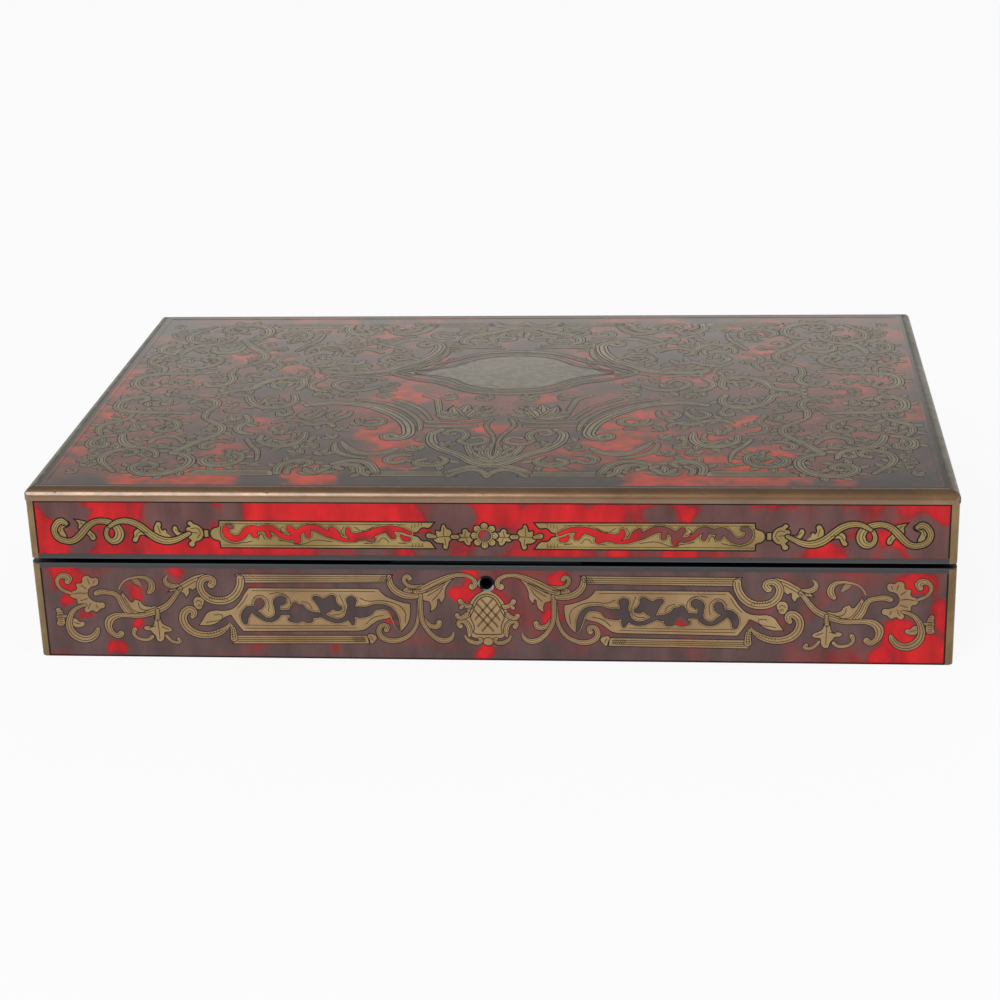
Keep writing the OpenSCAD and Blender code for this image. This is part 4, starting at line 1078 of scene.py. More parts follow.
lid_plate = drawing(
    plates=[long_plate()],
    vines=[
        [(-87.2, 12.3, 1.4), (-88.8, 12, 2.0), (-89.3, 10.2, 2.2), (-87.8, 8.4, 2.2), (-85.4, 7.9, 2.0),
         (-83.4, 9, 2.2), (-82, 10.8, 2.4), (-80, 11.6, 2.4), (-77.6, 11.3, 1.8), (-75, 11.9, 2.0),
         (-72.8, 11.6, 2.0), (-71, 10, 1.8), (-69, 8.6, 1.5), (-66.6, 8.2, 1.5), (-65, 9, 2.2)],
        [(-80.2, 11, 2.0), (-79, 9.2, 2.0)], [(-74.8, 11, 1.8), (-74, 8.9, 1.6)],
        [(-66.8, 11.7, 2.2), (-65.6, 10.4, 2.6), (-64.6, 8.4, 3.0), (-64.3, 7.2, 2.2)],
        [(-64.6, 9.6, 2.4), (-62.6, 11.2, 1.8), (-60.4, 12, 2.0), (-57.6, 11.9, 2.2), (-55.4, 10.9, 2.2),
         (-53, 9.6, 2.2), (-50.6, 8.8, 2.0), (-48.4, 7.8, 1.4), (-46, 7.3, 1.0), (-43.5, 7.2, 0.8)],
        [(-60.6, 10.6, 2.0), (-60.3, 9, 1.6)], [(-52.2, 11.5, 1.8), (-50.6, 10.6, 1.6), (-49.6, 9.2, 1.2)],
        [(-46.3, 11.4, 1.4), (-46, 9.8, 2.2), (-44.4, 8.8, 2.6), (-41.6, 8.9, 2.8), (-38.8, 9.7, 2.6),
         (-36, 10.9, 2.4), (-33.2, 11.6, 2.2), (-30, 11.8, 1.8), (-27.2, 11.3, 1.4), (-24.6, 10.2, 1.2)],
        [(-39.6, 8.6, 2.6), (-37.8, 7.8, 2.0)], [(-32, 11, 2.4), (-30.6, 9, 2.0)],
        [(-27.6, 9.2, 1.0), (-26.6, 8.2, 1.8), (-25.2, 8, 1.4)],
    ],
    lines=[
        fine([(-91, 13.4), (-60, 13.4), (-26, 13.3)], 0.16),
        fine([(-91, 5.4), (-60, 5.4), (-20, 5.4)], 0.16),
        [(-91, 12.6), (-91.2, 9), (-89, 6.6), (-84, 6.2), (-80, 7)], [(-78, 7.4), (-77, 9.6), (-75.6, 7.4)],
        [(-71, 7.4), (-67, 6.6), (-63, 5.8), (-58, 7.4), (-52, 6.8)], [(-68.6, 12.6), (-70, 11), (-68, 9.8)],
        [(-47.6, 12.6), (-48.6, 10.4), (-47.2, 8.6)], [(-44, 12.4), (-41, 10.8), (-37, 12.4)],
        [(-36, 6.6), (-34, 8.4), (-32, 6.6)], [(-41, 6.2), (-38, 6.4)], [(-29, 6.6), (-26, 6.2)],
        *hatching((-24, 12), (-20.6, 12.8), 4, (0.2, 1.2)), *hatching((-24, 5), (-20.6, 5), 4, (0.2, 1.6)),
    ],
)
print("lid plate:", len(lid_plate["vines"]), "vine strokes")

# %% Lid front: rosette and palmettes
ROSETTE = (1.25, 9.4)
PETALS = 8
PETAL_REACH = ((2.2, 1.5), (3.6, 2.3))


def petal(turn):
    return [(ROSETTE[0] + far * cos(turn), ROSETTE[1] + far * sin(turn), width)
            for far, width in PETAL_REACH]


lid_rosette = drawing(
    strokes=[
        [(-18.1, 9.3, 1.8), (-16, 8.9, 1.0)], [(-9.8, 8.9, 1.4), (-8.2, 8.9, 1.4)],
        *[petal(radians(90 + 360 * k / PETALS)) for k in range(PETALS // 2 + 1)],
    ],
    plates=[
        [(-16.4, 8.2), (-15.4, 9.4), (-15.4, 11), (-14, 10.8), (-13.6, 12.2), (-12.8, 13.4), (-12, 12),
         (-10.6, 11.2), (-10.2, 9.6), (-10.3, 8.2), (-11.2, 7.2), (-11.6, 5.4), (-12.2, 4.4), (-13.2, 5),
         (-13, 6.4), (-14.4, 6.6), (-15.6, 7)],
        [(-8.4, 8.4), (-7.8, 9.8), (-6.4, 10), (-6.2, 11.4), (-5, 11.7), (-4.2, 10.6), (-2.8, 10.4),
         (-1.6, 9.4), (-2.6, 8), (-3.6, 7.2), (-4, 5.9), (-5.4, 6.4), (-6, 7.4), (-7.4, 7.3)],
    ],
    vine_leaves=[disc(ROSETTE[0], ROSETTE[1], 2.0)],
    vines=[[(ROSETTE[0] - 0.4, ROSETTE[1], 3.0), (ROSETTE[0], ROSETTE[1], 3.0)]],
    lines=[
        [(-15.6, 8.6), (-13, 9), (-10.8, 9)], [(-13, 9.4), (-12.8, 12.4)], [(-12.6, 8.4), (-12.3, 5.6)],
        [(-7.8, 8.6), (-3, 8.9)], [(-5.6, 9), (-5.3, 11)], [(-5.2, 8.4), (-4.6, 6.8)],
    ],
)
print("rosette petals:", PETALS)

# %% Lay the front of the lid
LID_LEAN = -1.25
LID_BROADER = 1.22
lid_scroll = broader(lid_scroll, LID_BROADER)
LID_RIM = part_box("lid_rim_caps")[0].z
lid_front = redrawn(together(lid_scroll, lid_plate, lid_rosette), centred(LID_LEAN, BASE_REACH))
lay_panel("lid_front_inlay", "lid", lid_front, upright(0, FRONT_OUT, LID_RIM), lid_brass, lid_shell,
          edge=0.5)

# %% [markdown]
# ## The top of the lid
# The top is the richest panel. A plain brass cartouche sits a little behind the middle, a lyre of scrolls
# rises to it from the front, great C-scrolls and strapwork fill the ends, and barred frames run along the
# front and back. Leaves sprout from every scroll, so leaf, sprig and palmette are small functions that are
# placed one by one. The drawing is measured from the sheet's front edge.

# %% Leaves for the top
LEAF_STEPS = ((0, 0, 0.35), (0.3, 1, 0.85), (0.6, 1, 1.0), (0.85, 0.4, 0.6), (1, 0, 0.12))
LEAF_BEND = 0.08
SPRIG_FAN = ((-42, 0.75), (0, 1.0), (42, 0.75))
SPRIG_WIDTH = 0.34
PALMETTE_HALF = 70
PALMETTE_WIDTH = 0.24
OUTER_SHRINK = 0.25
SIDE_TURN = 58
SIDE_WIDTH = 0.4


def leaf(x, y, turn, length, width):
    along = Vector((cos(radians(turn)), sin(radians(turn))))
    aside = Vector((-along.y, along.x)) * LEAF_BEND * length
    start = Vector((x, y))
    spots = [(start + along * length * far + aside * bend, width * share) for far, bend, share in LEAF_STEPS]
    return [(spot.x, spot.y, thick) for spot, thick in spots]


def sprig(x, y, turn, size):
    return [leaf(x, y, turn + spread, size * share, size * SPRIG_WIDTH) for spread, share in SPRIG_FAN]


def palmette(x, y, turn, size, lobes=5):
    fan = [-PALMETTE_HALF + 2 * PALMETTE_HALF * k / (lobes - 1) for k in range(lobes)]
    shares = [1 - OUTER_SHRINK * abs(spread) / PALMETTE_HALF for spread in fan]
    return [leaf(x, y, turn + spread, size * share, size * PALMETTE_WIDTH)
            for spread, share in zip(fan, shares)]


def leafed(points, size):
    leaves = []
    for k in range(1, len(points) - 1):
        back, here, ahead = points[k - 1 : k + 2]
        way = degrees(atan2(ahead[1] - back[1], ahead[0] - back[0]))
        for side in (SIDE_TURN, -SIDE_TURN):
            leaves.append(leaf(here[0], here[1], way + side, size, size * SIDE_WIDTH))
    return leaves


print("a sprig has", len(sprig(0, 0, 0, 5)), "leaves")

# %% Top: front frame and end scrolls
top_frame = drawing(
    strokes=[
        [(-54, 17.2, 2.0), (-56, 19, 2.0), (-54.6, 21.4, 2.0), (-51, 21.6, 2.4), (-47.6, 18.6, 2.4),
         (-46.6, 14, 2.2), (-44, 10.8, 1.6)],
        [(-57.5, 22.4, 2.0), (-52, 25.6, 2.6), (-46, 23.6, 2.6), (-42.6, 17.6, 2.4), (-41, 12.6, 2.0)],
        [(-75.5, 13, 2.2), (-76, 19, 2.6), (-73.4, 24, 2.8), (-69, 26, 2.6), (-65.6, 23.5, 2.2),
         (-66.6, 20.8, 2.0)],
        [(-72, 12.4, 1.8), (-72.4, 17.2, 1.8), (-70, 20.4, 1.6)],
        *palmette(-62, 12, 92, 9.5, 5),
        [(-101.6, 30.6, 1.0), (-104, 28, 2.4), (-103.6, 23.6, 2.8), (-100.4, 20.6, 2.4), (-96, 20.2, 2.0),
         (-92.2, 22.8, 1.9), (-90.7, 27.4, 1.8), (-91.7, 32, 1.8), (-94.4, 33.6, 1.8), (-96.2, 31.4, 1.6),
         (-95, 29, 1.4)],
        [(-72.5, 55, 1.6), (-72.6, 48, 2.6), (-75, 43, 2.8), (-79.5, 40.4, 2.6), (-84, 42, 2.4),
         (-87.6, 46, 2.0), (-88, 51.5, 1.6)],
        [(-76.6, 54, 1.2), (-76.2, 48.6, 1.6), (-79, 45.2, 1.6), (-82.4, 46.6, 1.4)],
        [(-92.6, 48, 1.4), (-89.6, 41, 1.6), (-86.8, 36, 1.6), (-85.4, 30, 1.2), (-85, 25, 0.6)],
        [(-112, 70, 1.6), (-108, 66, 2.2), (-104.8, 62, 2.4), (-103.8, 56, 2.4), (-106.5, 50, 2.4),
         (-110.4, 45, 2.6), (-113.6, 39, 2.6), (-116.6, 34, 2.2)],
        [(-116.6, 33, 2.0), (-112.6, 31.6, 2.4), (-109, 27.4, 2.8), (-108.4, 21.6, 3.0), (-111, 15.4, 3.0),
         (-116, 11.8, 3.0), (-121.6, 11.6, 3.0), (-126, 14.4, 2.6), (-127.4, 19, 2.2), (-124.8, 22.6, 2.0),
         (-120.8, 22.2, 2.0), (-119.4, 18.8, 1.8), (-122, 17, 1.8)],
        [(-115, 44, 1.4), (-117.4, 49, 2.2), (-121.6, 51, 2.4), (-126, 49, 2.2), (-127, 44.4, 1.8)],
        [(-100, 46, 1.6), (-104.6, 45, 2.0), (-107.4, 41, 2.2), (-105.4, 38, 2.0), (-103.6, 40, 1.8)],
        [(-133, 14, 1.4), (-136.4, 19, 1.8), (-139.6, 24, 2.2), (-140.4, 30, 2.6), (-137, 36, 2.4),
         (-131.6, 36.6, 2.0), (-129.6, 32.6, 1.8), (-132.6, 30, 1.8)],
        [(-142, 52, 1.8), (-146.6, 50, 2.4), (-148.8, 44.6, 2.6), (-146.4, 39.6, 3.2), (-142.6, 40.4, 2.4),
         (-142.6, 43.6, 1.8)],
        [(-141, 77, 1.6), (-141.4, 71, 1.8), (-144.6, 67.6, 2.2), (-148.4, 64.4, 2.2), (-149.4, 58, 2.0),
         (-147.4, 53, 1.6)],
        [(-139, 52, 2.0), (-137.4, 45.6, 2.6), (-133.6, 40.4, 2.8), (-128, 38.6, 2.4), (-123, 34.6, 1.8),
         (-121.6, 29, 1.6)],
        [(-120, 76.4, 2.0), (-127, 77.6, 2.4), (-134, 77.8, 2.8), (-141, 78.6, 2.8), (-147, 81, 2.8),
         (-149, 87, 2.8), (-147.4, 93.6, 3.0), (-143, 96.6, 2.6), (-139.4, 93.6, 2.0), (-141, 90, 1.8)],
        [(-136, 69, 1.6), (-131, 71.6, 2.0), (-125.4, 69.6, 2.2), (-121.6, 65, 2.2), (-121.4, 59.4, 2.0),
         (-125, 56.4, 2.0), (-128.4, 59, 1.8), (-126.6, 61.8, 1.6)],
        [(-113, 72, 1.8), (-113.4, 79, 2.2), (-111.4, 86, 2.4), (-113.6, 92, 2.4), (-119, 93.6, 2.2),
         (-121.6, 89.4, 1.8)],
        [(-84, 97.6, 2.0), (-82.6, 91, 2.4), (-85, 85.4, 2.6), (-90, 83, 2.8), (-95.4, 85.4, 2.8),
         (-99.4, 91, 2.8), (-102, 97.4, 2.6), (-108, 99.4, 2.4), (-113, 104, 2.2)],
        [(-90.6, 97, 1.6), (-94.4, 92.6, 1.8), (-91.6, 88.6, 1.8), (-87.6, 90.4, 1.6), (-88.4, 93.4, 1.4)],
        [(-83.6, 82, 1.4), (-82.2, 77, 2.0), (-85, 74.6, 2.2), (-86.4, 77.4, 1.6)],
        [(-69.6, 78, 1.4), (-72, 72.4, 2.0), (-76, 72, 2.2), (-77.6, 76, 2.0), (-75, 79, 1.6)],
        [(-59.6, 79, 1.2), (-60.6, 73.4, 2.0), (-64.6, 71.4, 2.2), (-66.8, 75.4, 2.0), (-64.4, 79, 1.6)],
        [(-98, 74, 1.6), (-95.6, 67, 2.2), (-98.4, 61.4, 2.4), (-96, 55, 2.0), (-92, 53.6, 1.6)],
        [(-86, 66, 1.6), (-82, 69, 2.0), (-76, 67.6, 2.2), (-71, 64, 2.2), (-66, 66, 2.0), (-63.6, 62, 1.6)],
        [(-78, 59, 1.4), (-82.4, 57, 2.0), (-85.6, 60, 2.0), (-83.6, 63, 1.6)],
        [(-58, 46, 0.8), (-54, 38, 2.4), (-48, 33, 3.0), (-41, 34, 2.6), (-37.6, 38, 2.0)],
        [(-60, 44, 1.0), (-58.6, 36, 2.2), (-53, 30.6, 2.0), (-47.6, 28.6, 1.4)],
        [(-31.6, 31, 1.2), (-35.6, 31.6, 2.2), (-39, 28, 2.4), (-37.4, 23.8, 2.2), (-33.6, 25, 1.8)],
        [(-21, 30, 1.2), (-18.6, 26, 1.8), (-20.6, 21.6, 2.2), (-26, 20.6, 2.2), (-29, 24.6, 1.8),
         (-26, 27.4, 1.6)],
        *sprig(-81, 53, 80, 7), *sprig(-66, 42, 200, 6.5), *sprig(-70, 33, 150, 7), *sprig(-63, 31, 80, 7),
        *sprig(-97, 46, 170, 6), *sprig(-97, 37, 275, 5), *sprig(-112, 52, 190, 6), *sprig(-119, 40, 150, 6),
        *sprig(-134, 58, 120, 8), *sprig(-139, 60, 230, 7), *sprig(-131, 46, 80, 6), *sprig(-137, 85, 60, 7),
        *sprig(-129, 86, 100, 7), *sprig(-106, 78, 40, 7), *sprig(-101, 68, 110, 7),
        *sprig(-117, 83, 200, 5), *sprig(-71, 84, 250, 5), *sprig(-92, 62, 100, 6), *sprig(-110, 60, 300, 5),
        *sprig(-132, 97, 60, 6), *sprig(-125, 98, 250, 5), *sprig(-104, 88, 200, 6), *sprig(-76, 97, 30, 7),
        *sprig(-66, 97, 20, 7), *sprig(-30, 36, 110, 7), *sprig(-31, 46, 30, 6), *sprig(-69, 52, 260, 6),
        *sprig(-54, 63, 90, 7), *sprig(-48, 61, 200, 5), *sprig(-139, 18, 330, 5), *sprig(-52, 97, 10, 7),
        *sprig(-86, 20, 60, 5), *sprig(-98, 27, 20, 4), *sprig(-145, 73, 120, 5), *sprig(-146, 31, 290, 6),
        *sprig(-144, 60, 330, 6), *sprig(-146, 13, 140, 5), *sprig(-143, 19, 100, 6),
        *sprig(-147, 23, 60, 5),
    ],
    plates=[
        [(-44, 10.2, SHARP), (-40, 15, SHARP), (-18, 15, SHARP), (-13.5, 10.2, SHARP)],
        [(-108, 11, SHARP), (-104.5, 16, SHARP), (-79, 16, SHARP), (-76, 13.5, SHARP), (-77, 11, SHARP)],
    ],
    lines=[
        *[fine([(-42.4, 11.4 + 1.2 * k), (-16, 11.4 + 1.2 * k)], 0.2) for k in range(3)],
        *[fine([(-106.4, 12.2 + 1.2 * k), (-78.6, 12.2 + 1.2 * k)], 0.2) for k in range(3)],
    ],
)
print("top frame:", len(top_frame["strokes"]), "strokes")

# %% Top: great scrolls
top_scrolls = drawing(
    strokes=[
        [(-39.5, 51.8, 2.0), (-41.5, 53.4, 2.0), (-43.4, 51.5, 2.4), (-42, 48.8, 2.6), (-38.5, 48.8, 3.0),
         (-35.6, 52.5, 3.4), (-35.6, 58, 3.6), (-37.2, 65, 3.8), (-41, 72.5, 3.8), (-46.5, 79.5, 3.8),
         (-53, 85, 3.6), (-61, 88, 3.2), (-70, 88.6, 3.0), (-77, 86, 2.4)],
        [(-31.6, 58, 1.2), (-32.4, 66, 1.6), (-36.2, 75, 1.6), (-42.2, 83.4, 1.6), (-50, 89.4, 1.6),
         (-59, 92.6, 1.2)],
        [(-29, 70, 1.0), (-32.6, 79, 1.4), (-38, 87, 1.4), (-45.4, 93, 1.2)],
        [(-56, 70, 1.2), (-54, 65, 1.8), (-49, 63.6, 2.0), (-46, 67, 2.0), (-48.6, 71, 1.8),
         (-52, 69.6, 1.4)],
    ],
)
print("great scrolls:", len(top_scrolls["strokes"]))

# %% Top: lyre in the middle
top_lyre = drawing(
    strokes=[
        [(-16, 11, 2.4), (-11, 16.6, 2.6), (-6, 16, 2.4), (-3, 9.4, 1.4)],
        [(-17, 14, 2.0), (-10, 19.6, 2.6), (-3, 20.8, 2.8)],
        [(-18.5, 53.8, 1.6), (-20.6, 53, 1.8), (-22, 55.2, 2.0), (-20.6, 57.8, 2.2), (-17.4, 57.8, 2.2),
         (-14.8, 55, 2.2), (-14.4, 51, 2.2), (-15.6, 47.2, 2.2)],
        [(-23.4, 58.4, 2.0), (-26.2, 54.6, 2.6), (-26.4, 49.6, 3.0), (-25.2, 44, 3.2), (-21.5, 38, 3.2),
         (-16.5, 33.5, 3.0), (-12.6, 29, 3.0), (-9.4, 24.6, 3.0), (-5.8, 22, 3.0), (-3, 21.6, 3.0)],
        [(-12.6, 42, 2.0), (-11.4, 36.6, 2.2), (-9.4, 31, 2.4), (-6.4, 26.8, 2.4), (-3, 25.2, 2.4)],
        [(-16, 46.4, 1.8), (-13, 43, 2.0), (-9, 43.4, 2.0), (-6.4, 46.6, 1.8), (-8.4, 50.2, 1.8),
         (-11.6, 49.4, 1.6)],
        [(-6.4, 70, 1.2), (-8, 64, 1.4), (-6.6, 58, 1.4), (-4.6, 52, 1.2), (-3.6, 45, 0.8)],
        [(-36, 64.6, 1.8), (-28, 62.6, 1.8), (-20, 62.2, 1.8), (-12, 62.6, 1.6)],
        [(-30, 67.4, 1.4), (-22, 66.2, 1.6), (-14, 66.6, 1.6), (-10, 68.4, 1.2)],
        [(-24.6, 70.4, 1.4), (-26.6, 78, 1.6), (-28, 87, 1.8), (-29.6, 93.6, 1.8), (-34, 97, 1.6)],
        leaf(-3.4, 27.6, 108, 13, 2.4), leaf(-3, 27.6, 92, 17, 2.2), leaf(-4.4, 27.6, 128, 9, 2.0),
        *palmette(-16, 71, 92, 16, 7), *sprig(-21, 45, 300, 6), *sprig(-20, 41, 80, 6),
        *sprig(-13, 80, 40, 7), *sprig(-7, 36, 85, 6), *sprig(-14, 93, 20, 6), *sprig(-22, 95, 160, 7),
        *sprig(-8, 95, 160, 6),
    ],
    lines=[[(-22, 73), (-24, 80), (-22, 86)], [(-12, 74), (-10, 80), (-11, 85)]],
)
print("lyre:", len(top_lyre["strokes"]), "strokes")

# %% Top: curls beside the cartouche
top_curls = drawing(
    strokes=[
        [(-53, 109, 1.4), (-58, 104.6, 2.2), (-64, 104, 2.4), (-69, 107.6, 2.4), (-70, 113, 2.2),
         (-66, 116, 1.8), (-63, 113.4, 1.6)],
        [(-76, 118, 1.6), (-79.6, 112, 2.2), (-78, 106, 2.2), (-73, 102.6, 1.8)],
        [(-52, 117, 1.2), (-57, 120, 2.0), (-63, 120.6, 2.2), (-69, 122.6, 2.0), (-75, 121.4, 1.6)],
        [(-42, 142, 1.4), (-47, 146.4, 2.0), (-53, 146.6, 2.2), (-56.4, 142.6, 2.2), (-54, 139, 1.8)],
        [(-58, 152, 1.4), (-63, 156.4, 2.0), (-69, 156, 2.2), (-72, 151.4, 2.0), (-69, 148, 1.6)],
        [(-47, 155, 1.2), (-52, 158.6, 1.8), (-57, 162, 2.0), (-62, 166, 1.6)],
        *sprig(-60, 111, 200, 6), *sprig(-56, 114, 130, 5), *sprig(-82, 117, 100, 6),
        *sprig(-72, 98, 300, 5), *sprig(-50, 152, 120, 6), *sprig(-66, 163, 60, 6), *sprig(-76, 157, 160, 6),
        *sprig(-60, 136, 200, 6), *sprig(-66, 130, 170, 6), *sprig(-61, 57, 60, 6), *sprig(-61, 49, 130, 6),
        *sprig(-46, 112, 200, 5),
    ],
)
print("curls:", len(top_curls["strokes"]))

# %% Top: cartouche
CARTOUCHE_EDGE = [(-3, 103), (-13, 104.5), (-20.6, 109), (-27, 116.5), (-35.4, 121.4), (-45.5, 126, SHARP),
                  (-35.4, 131), (-27, 136), (-20.6, 143.5), (-13, 148), (-3, 149.5), (3, 149.5), (3, 103)]
CARTOUCHE_BAND = [(-3, 99.6, 2.0), (-14, 101, 2.0), (-22.6, 106, 2.0), (-29.6, 112.6, 2.0),
                  (-38.6, 116.6, 2.0), (-46, 121.4, 2.0), (-50, 126, 1.6), (-46, 131, 2.0),
                  (-38.6, 136, 2.0), (-29.6, 140.2, 2.0), (-22.6, 146.8, 2.0), (-14, 151.8, 2.0),
                  (-3, 153.2, 2.0)]
top_cartouche = drawing(strokes=[CARTOUCHE_BAND], plates=[CARTOUCHE_EDGE], lines=[
    fine([(-3, 105), (-12.6, 106.4), (-19.6, 110.8), (-26, 118), (-34, 122.4), (-41.4, 126), (-34, 130),
          (-26, 134.6), (-19.6, 141.8), (-12.6, 146), (-3, 147.6)], 0.3)])
print("cartouche points:", len(CARTOUCHE_EDGE))

# %% Lay the top
TOP_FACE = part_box("lid_top_marquetry")[1].z
TOP_LEAN = 3.0
TOP_REACH = 155.0
BACK_FOLD = 203.0
SCROLL_FOLD = 214.0
LONG_STROKE = 5
LEAF_SIZE = 5.6
TOP_BROADER = 1.25
LYRE_BACK = 196.0
LYRE_SQUEEZE = 0.62
LYRE_FOOT = 6
LYRE_TOP = 69


def folded(back, squeeze=1.0, start=0.0):
    return lambda x, y: (x, back - squeeze * (y - start))


def below(design, limit):
    return {part: [shape for shape in shapes if max(p[1] for p in shape) < limit]
            for part, shapes in design.items()}


back_lyre = redrawn(below(top_lyre, LYRE_TOP), folded(LYRE_BACK, LYRE_SQUEEZE, LYRE_FOOT))
back_scrolls = redrawn(top_scrolls, folded(SCROLL_FOLD))
foliage = drawing(strokes=[one for points in top_frame["strokes"] if len(points) > LONG_STROKE
                           for one in leafed(points, LEAF_SIZE)])
top_ends = together(foliage, top_frame)
back_ends = redrawn(top_ends, folded(BACK_FOLD))
top_design = together(top_ends, back_ends, top_scrolls, back_scrolls, top_lyre, back_lyre, top_curls,
                      top_cartouche)
top_place = Matrix.Translation((0, TOP_START * MM, TOP_FACE))
top_design = broader(redrawn(top_design, centred(TOP_LEAN, TOP_REACH)), TOP_BROADER)
lay_panel("lid_top_inlay", "lid", top_design, top_place, top_brass, top_shell, edge=0.32)

# %% [markdown]
# ## Ends and back
# The ends are shorter than the front. The base's ends carry the same end scroll and middle with no plate
# between them, and the lid's ends have a shorter plate. The back, which stands against a wall, has only a
# line of brass stringing. Turning a front panel about the upright axis puts it on any side.

# %% Ends of base and lid
END_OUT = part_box("base_right_marquetry")[1].x
BACK_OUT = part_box("base_back_marquetry")[1].y
END_SHIFT = 53.0


def shifted(step):
    return lambda x, y: (x + step, y)


end_base = together(redrawn(together(base_scroll, base_volutes), shifted(END_SHIFT)),
                    redrawn(base_arm, shifted(BASE_LEAN)))
end_plate = drawing(
    plates=[long_plate(END_SHIFT)],
    vines=[[(-36.8, 11.2, 1.6), (-36.6, 9.4, 2.4), (-34.4, 8.2, 2.4), (-31.6, 9, 2.4), (-29, 10.8, 2.2),
            (-26, 11.2, 1.8), (-23.4, 10, 1.0)], [(-33, 9.4, 2.0), (-31.6, 11.4, 1.6)],
           [(-28.6, 9.6, 1.8), (-27.4, 8, 1.4)]],
    lines=[fine([(-38, 13.3), (-26, 13.3)], 0.16), fine([(-38, 5.4), (-22, 5.4)], 0.16)],
)
end_lid = together(redrawn(lid_scroll, shifted(END_SHIFT)), end_plate,
                   redrawn(lid_rosette, shifted(LID_LEAN)))
for side, turn in (("left", -90), ("right", 90)):
    lay_panel(f"base_{side}_inlay", "base", end_base, upright(turn, END_OUT), base_brass, vine_shell)
    lay_panel(f"lid_{side}_inlay", "lid", end_lid, upright(turn, END_OUT, LID_RIM), lid_brass, lid_shell,
              edge=0.5)

# %% Stringing on the back
STRINGING = 1.2
BACK_HALF = 149


def string_frame(half_wide, low, high, width=STRINGING):
    corners = ((-half_wide, low), (half_wide, low), (half_wide, high), (-half_wide, high))
    ends = list(zip(corners, corners[1:] + corners[:1]))
    return [[(x1, y1, width), (x2, y2, width)] for (x1, y1), (x2, y2) in ends]


def inset_frame(half, margin, width=STRINGING):
    return string_frame(half.x - margin, margin - half.y, half.y - margin, width)


base_line = drawing(strokes=string_frame(BACK_HALF, low=6, high=29))
lay_panel("base_back_inlay", "base", base_line, upright(180, BACK_OUT), base_brass, base_shell,
          mirrored=False)
lid_line = drawing(strokes=string_frame(BACK_HALF, low=5, high=16.6))
lay_panel("lid_back_inlay", "lid", lid_line, upright(180, BACK_OUT, LID_RIM), lid_brass, lid_shell,
          mirrored=False)

# %% [markdown]
# ## Seams
# A sheet of shell never meets a brass strip without a line of black glue between them. Each seam is a thin
# stroke of mastic along the edges of its sheet, apart from the edge at the rim, where black meets black.

# %% Seams round the sheets
SEAM_WIDTH = 0.55


def lay_seam(name, body, half_wide, low, high, place):
    inset = SEAM_WIDTH / 2
    bottom, right, top, left = string_frame(half_wide - inset, low + inset, high - inset, SEAM_WIDTH)
    edges = [right, left, bottom if body == "base" else top]
    lay(name, body, mastic, [(LINE_LIFT, strokes_mesh(edges, ends_round=False))], place,
        False)


for part in ("base", "lid"):
    for side, turn, out in (("front", 0, FRONT_OUT), ("right", 90, END_OUT), ("back", 180, BACK_OUT),
                            ("left", -90, END_OUT)):
        low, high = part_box(f"{part}_{side}_marquetry")
        half = high.x if side in ("front", "back") else high.y
        lay_seam(f"{part}_{side}_seam", part, half / MM, low.z / MM, high.z / MM, upright(turn, out))

# %% [markdown]
# ## The keyhole's dark edge
# A ragged ring of near-black steel round the keyhole is painted shadow inside the bush, and the metal bush
# shows bright on its lower right side and as a sliver on its left. The ragged edge is a ring: two splines in
# one filled curve leave the hole open.

# %% Keyhole edge
bush_low, bush_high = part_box("keyhole_bush")
KEYHOLE = ((bush_low.x + bush_high.x) / 2 / MM, (bush_low.z + bush_high.z) / 2 / MM)
HOLE_RADIUS = 2.1
LIP_LIFT = LINE_LIFT + 0.04
SHADOW_RIM = ((3.0, 5), (2.5, 40), (2.9, 80), (2.8, 115), (2.4, 150), (2.4, 190), (2.6, 230), (2.2, 270),
              (2.3, 320))


def around(radius, turn):
    return KEYHOLE[0] + radius * cos(radians(turn)), KEYHOLE[1] + radius * sin(radians(turn))


def shadow_ring():
    curve = flat_curve("shadow_ring")
    curve.fill_mode = "BOTH"
    curve.extrude = PLATE_DEPTH / 2
    add_spline(curve, [around(*spot) for spot in SHADOW_RIM], True)
    add_spline(curve, disc(*KEYHOLE, HOLE_RADIUS)[::-1], True)
    return as_mesh(curve)


lip = [(*around(2.5, 240), 0.2), (*around(2.6, 270), 0.8), (*around(2.7, 300), 1.1),
       (*around(2.6, 325), 0.8), (*around(2.5, 350), 0.2)]
sliver = [(*around(2.6, 135), 0.2), (*around(2.65, 175), 0.5), (*around(2.6, 210), 0.2)]
key_place = upright(0, FRONT_OUT)
# painted shadow: a near-black ring round the hole
lay("keyhole_painted_shadow", "base", lock_steel, [(LINE_LIFT, shadow_ring())], key_place, False)
lip_layer = [(LIP_LIFT, strokes_mesh([lip, sliver]))]
lay("keyhole_lip", "base", bright_steel, lip_layer, key_place, False)

# %% [markdown]
# ## Inside the box
# The four counter boxes have shell lids with a brass line and a small flower, and a brass line runs round
# the lining of the lid. They show only when the lid is up, yet they are what the owner sees most.

# %% Counter lids and ceiling
LID_MARGIN = 6
CEILING_MARGIN = 10
CEILING_LINE = 1.6
PETAL_WAIST = 0.6


def flower(petals, inner, outer, width):
    turns = [radians(360 * k / petals) for k in range(petals)]
    ends = ((inner, PETAL_WAIST * width), (outer, width))
    return [[(far * cos(turn), far * sin(turn), thick) for far, thick in ends] for turn in turns]


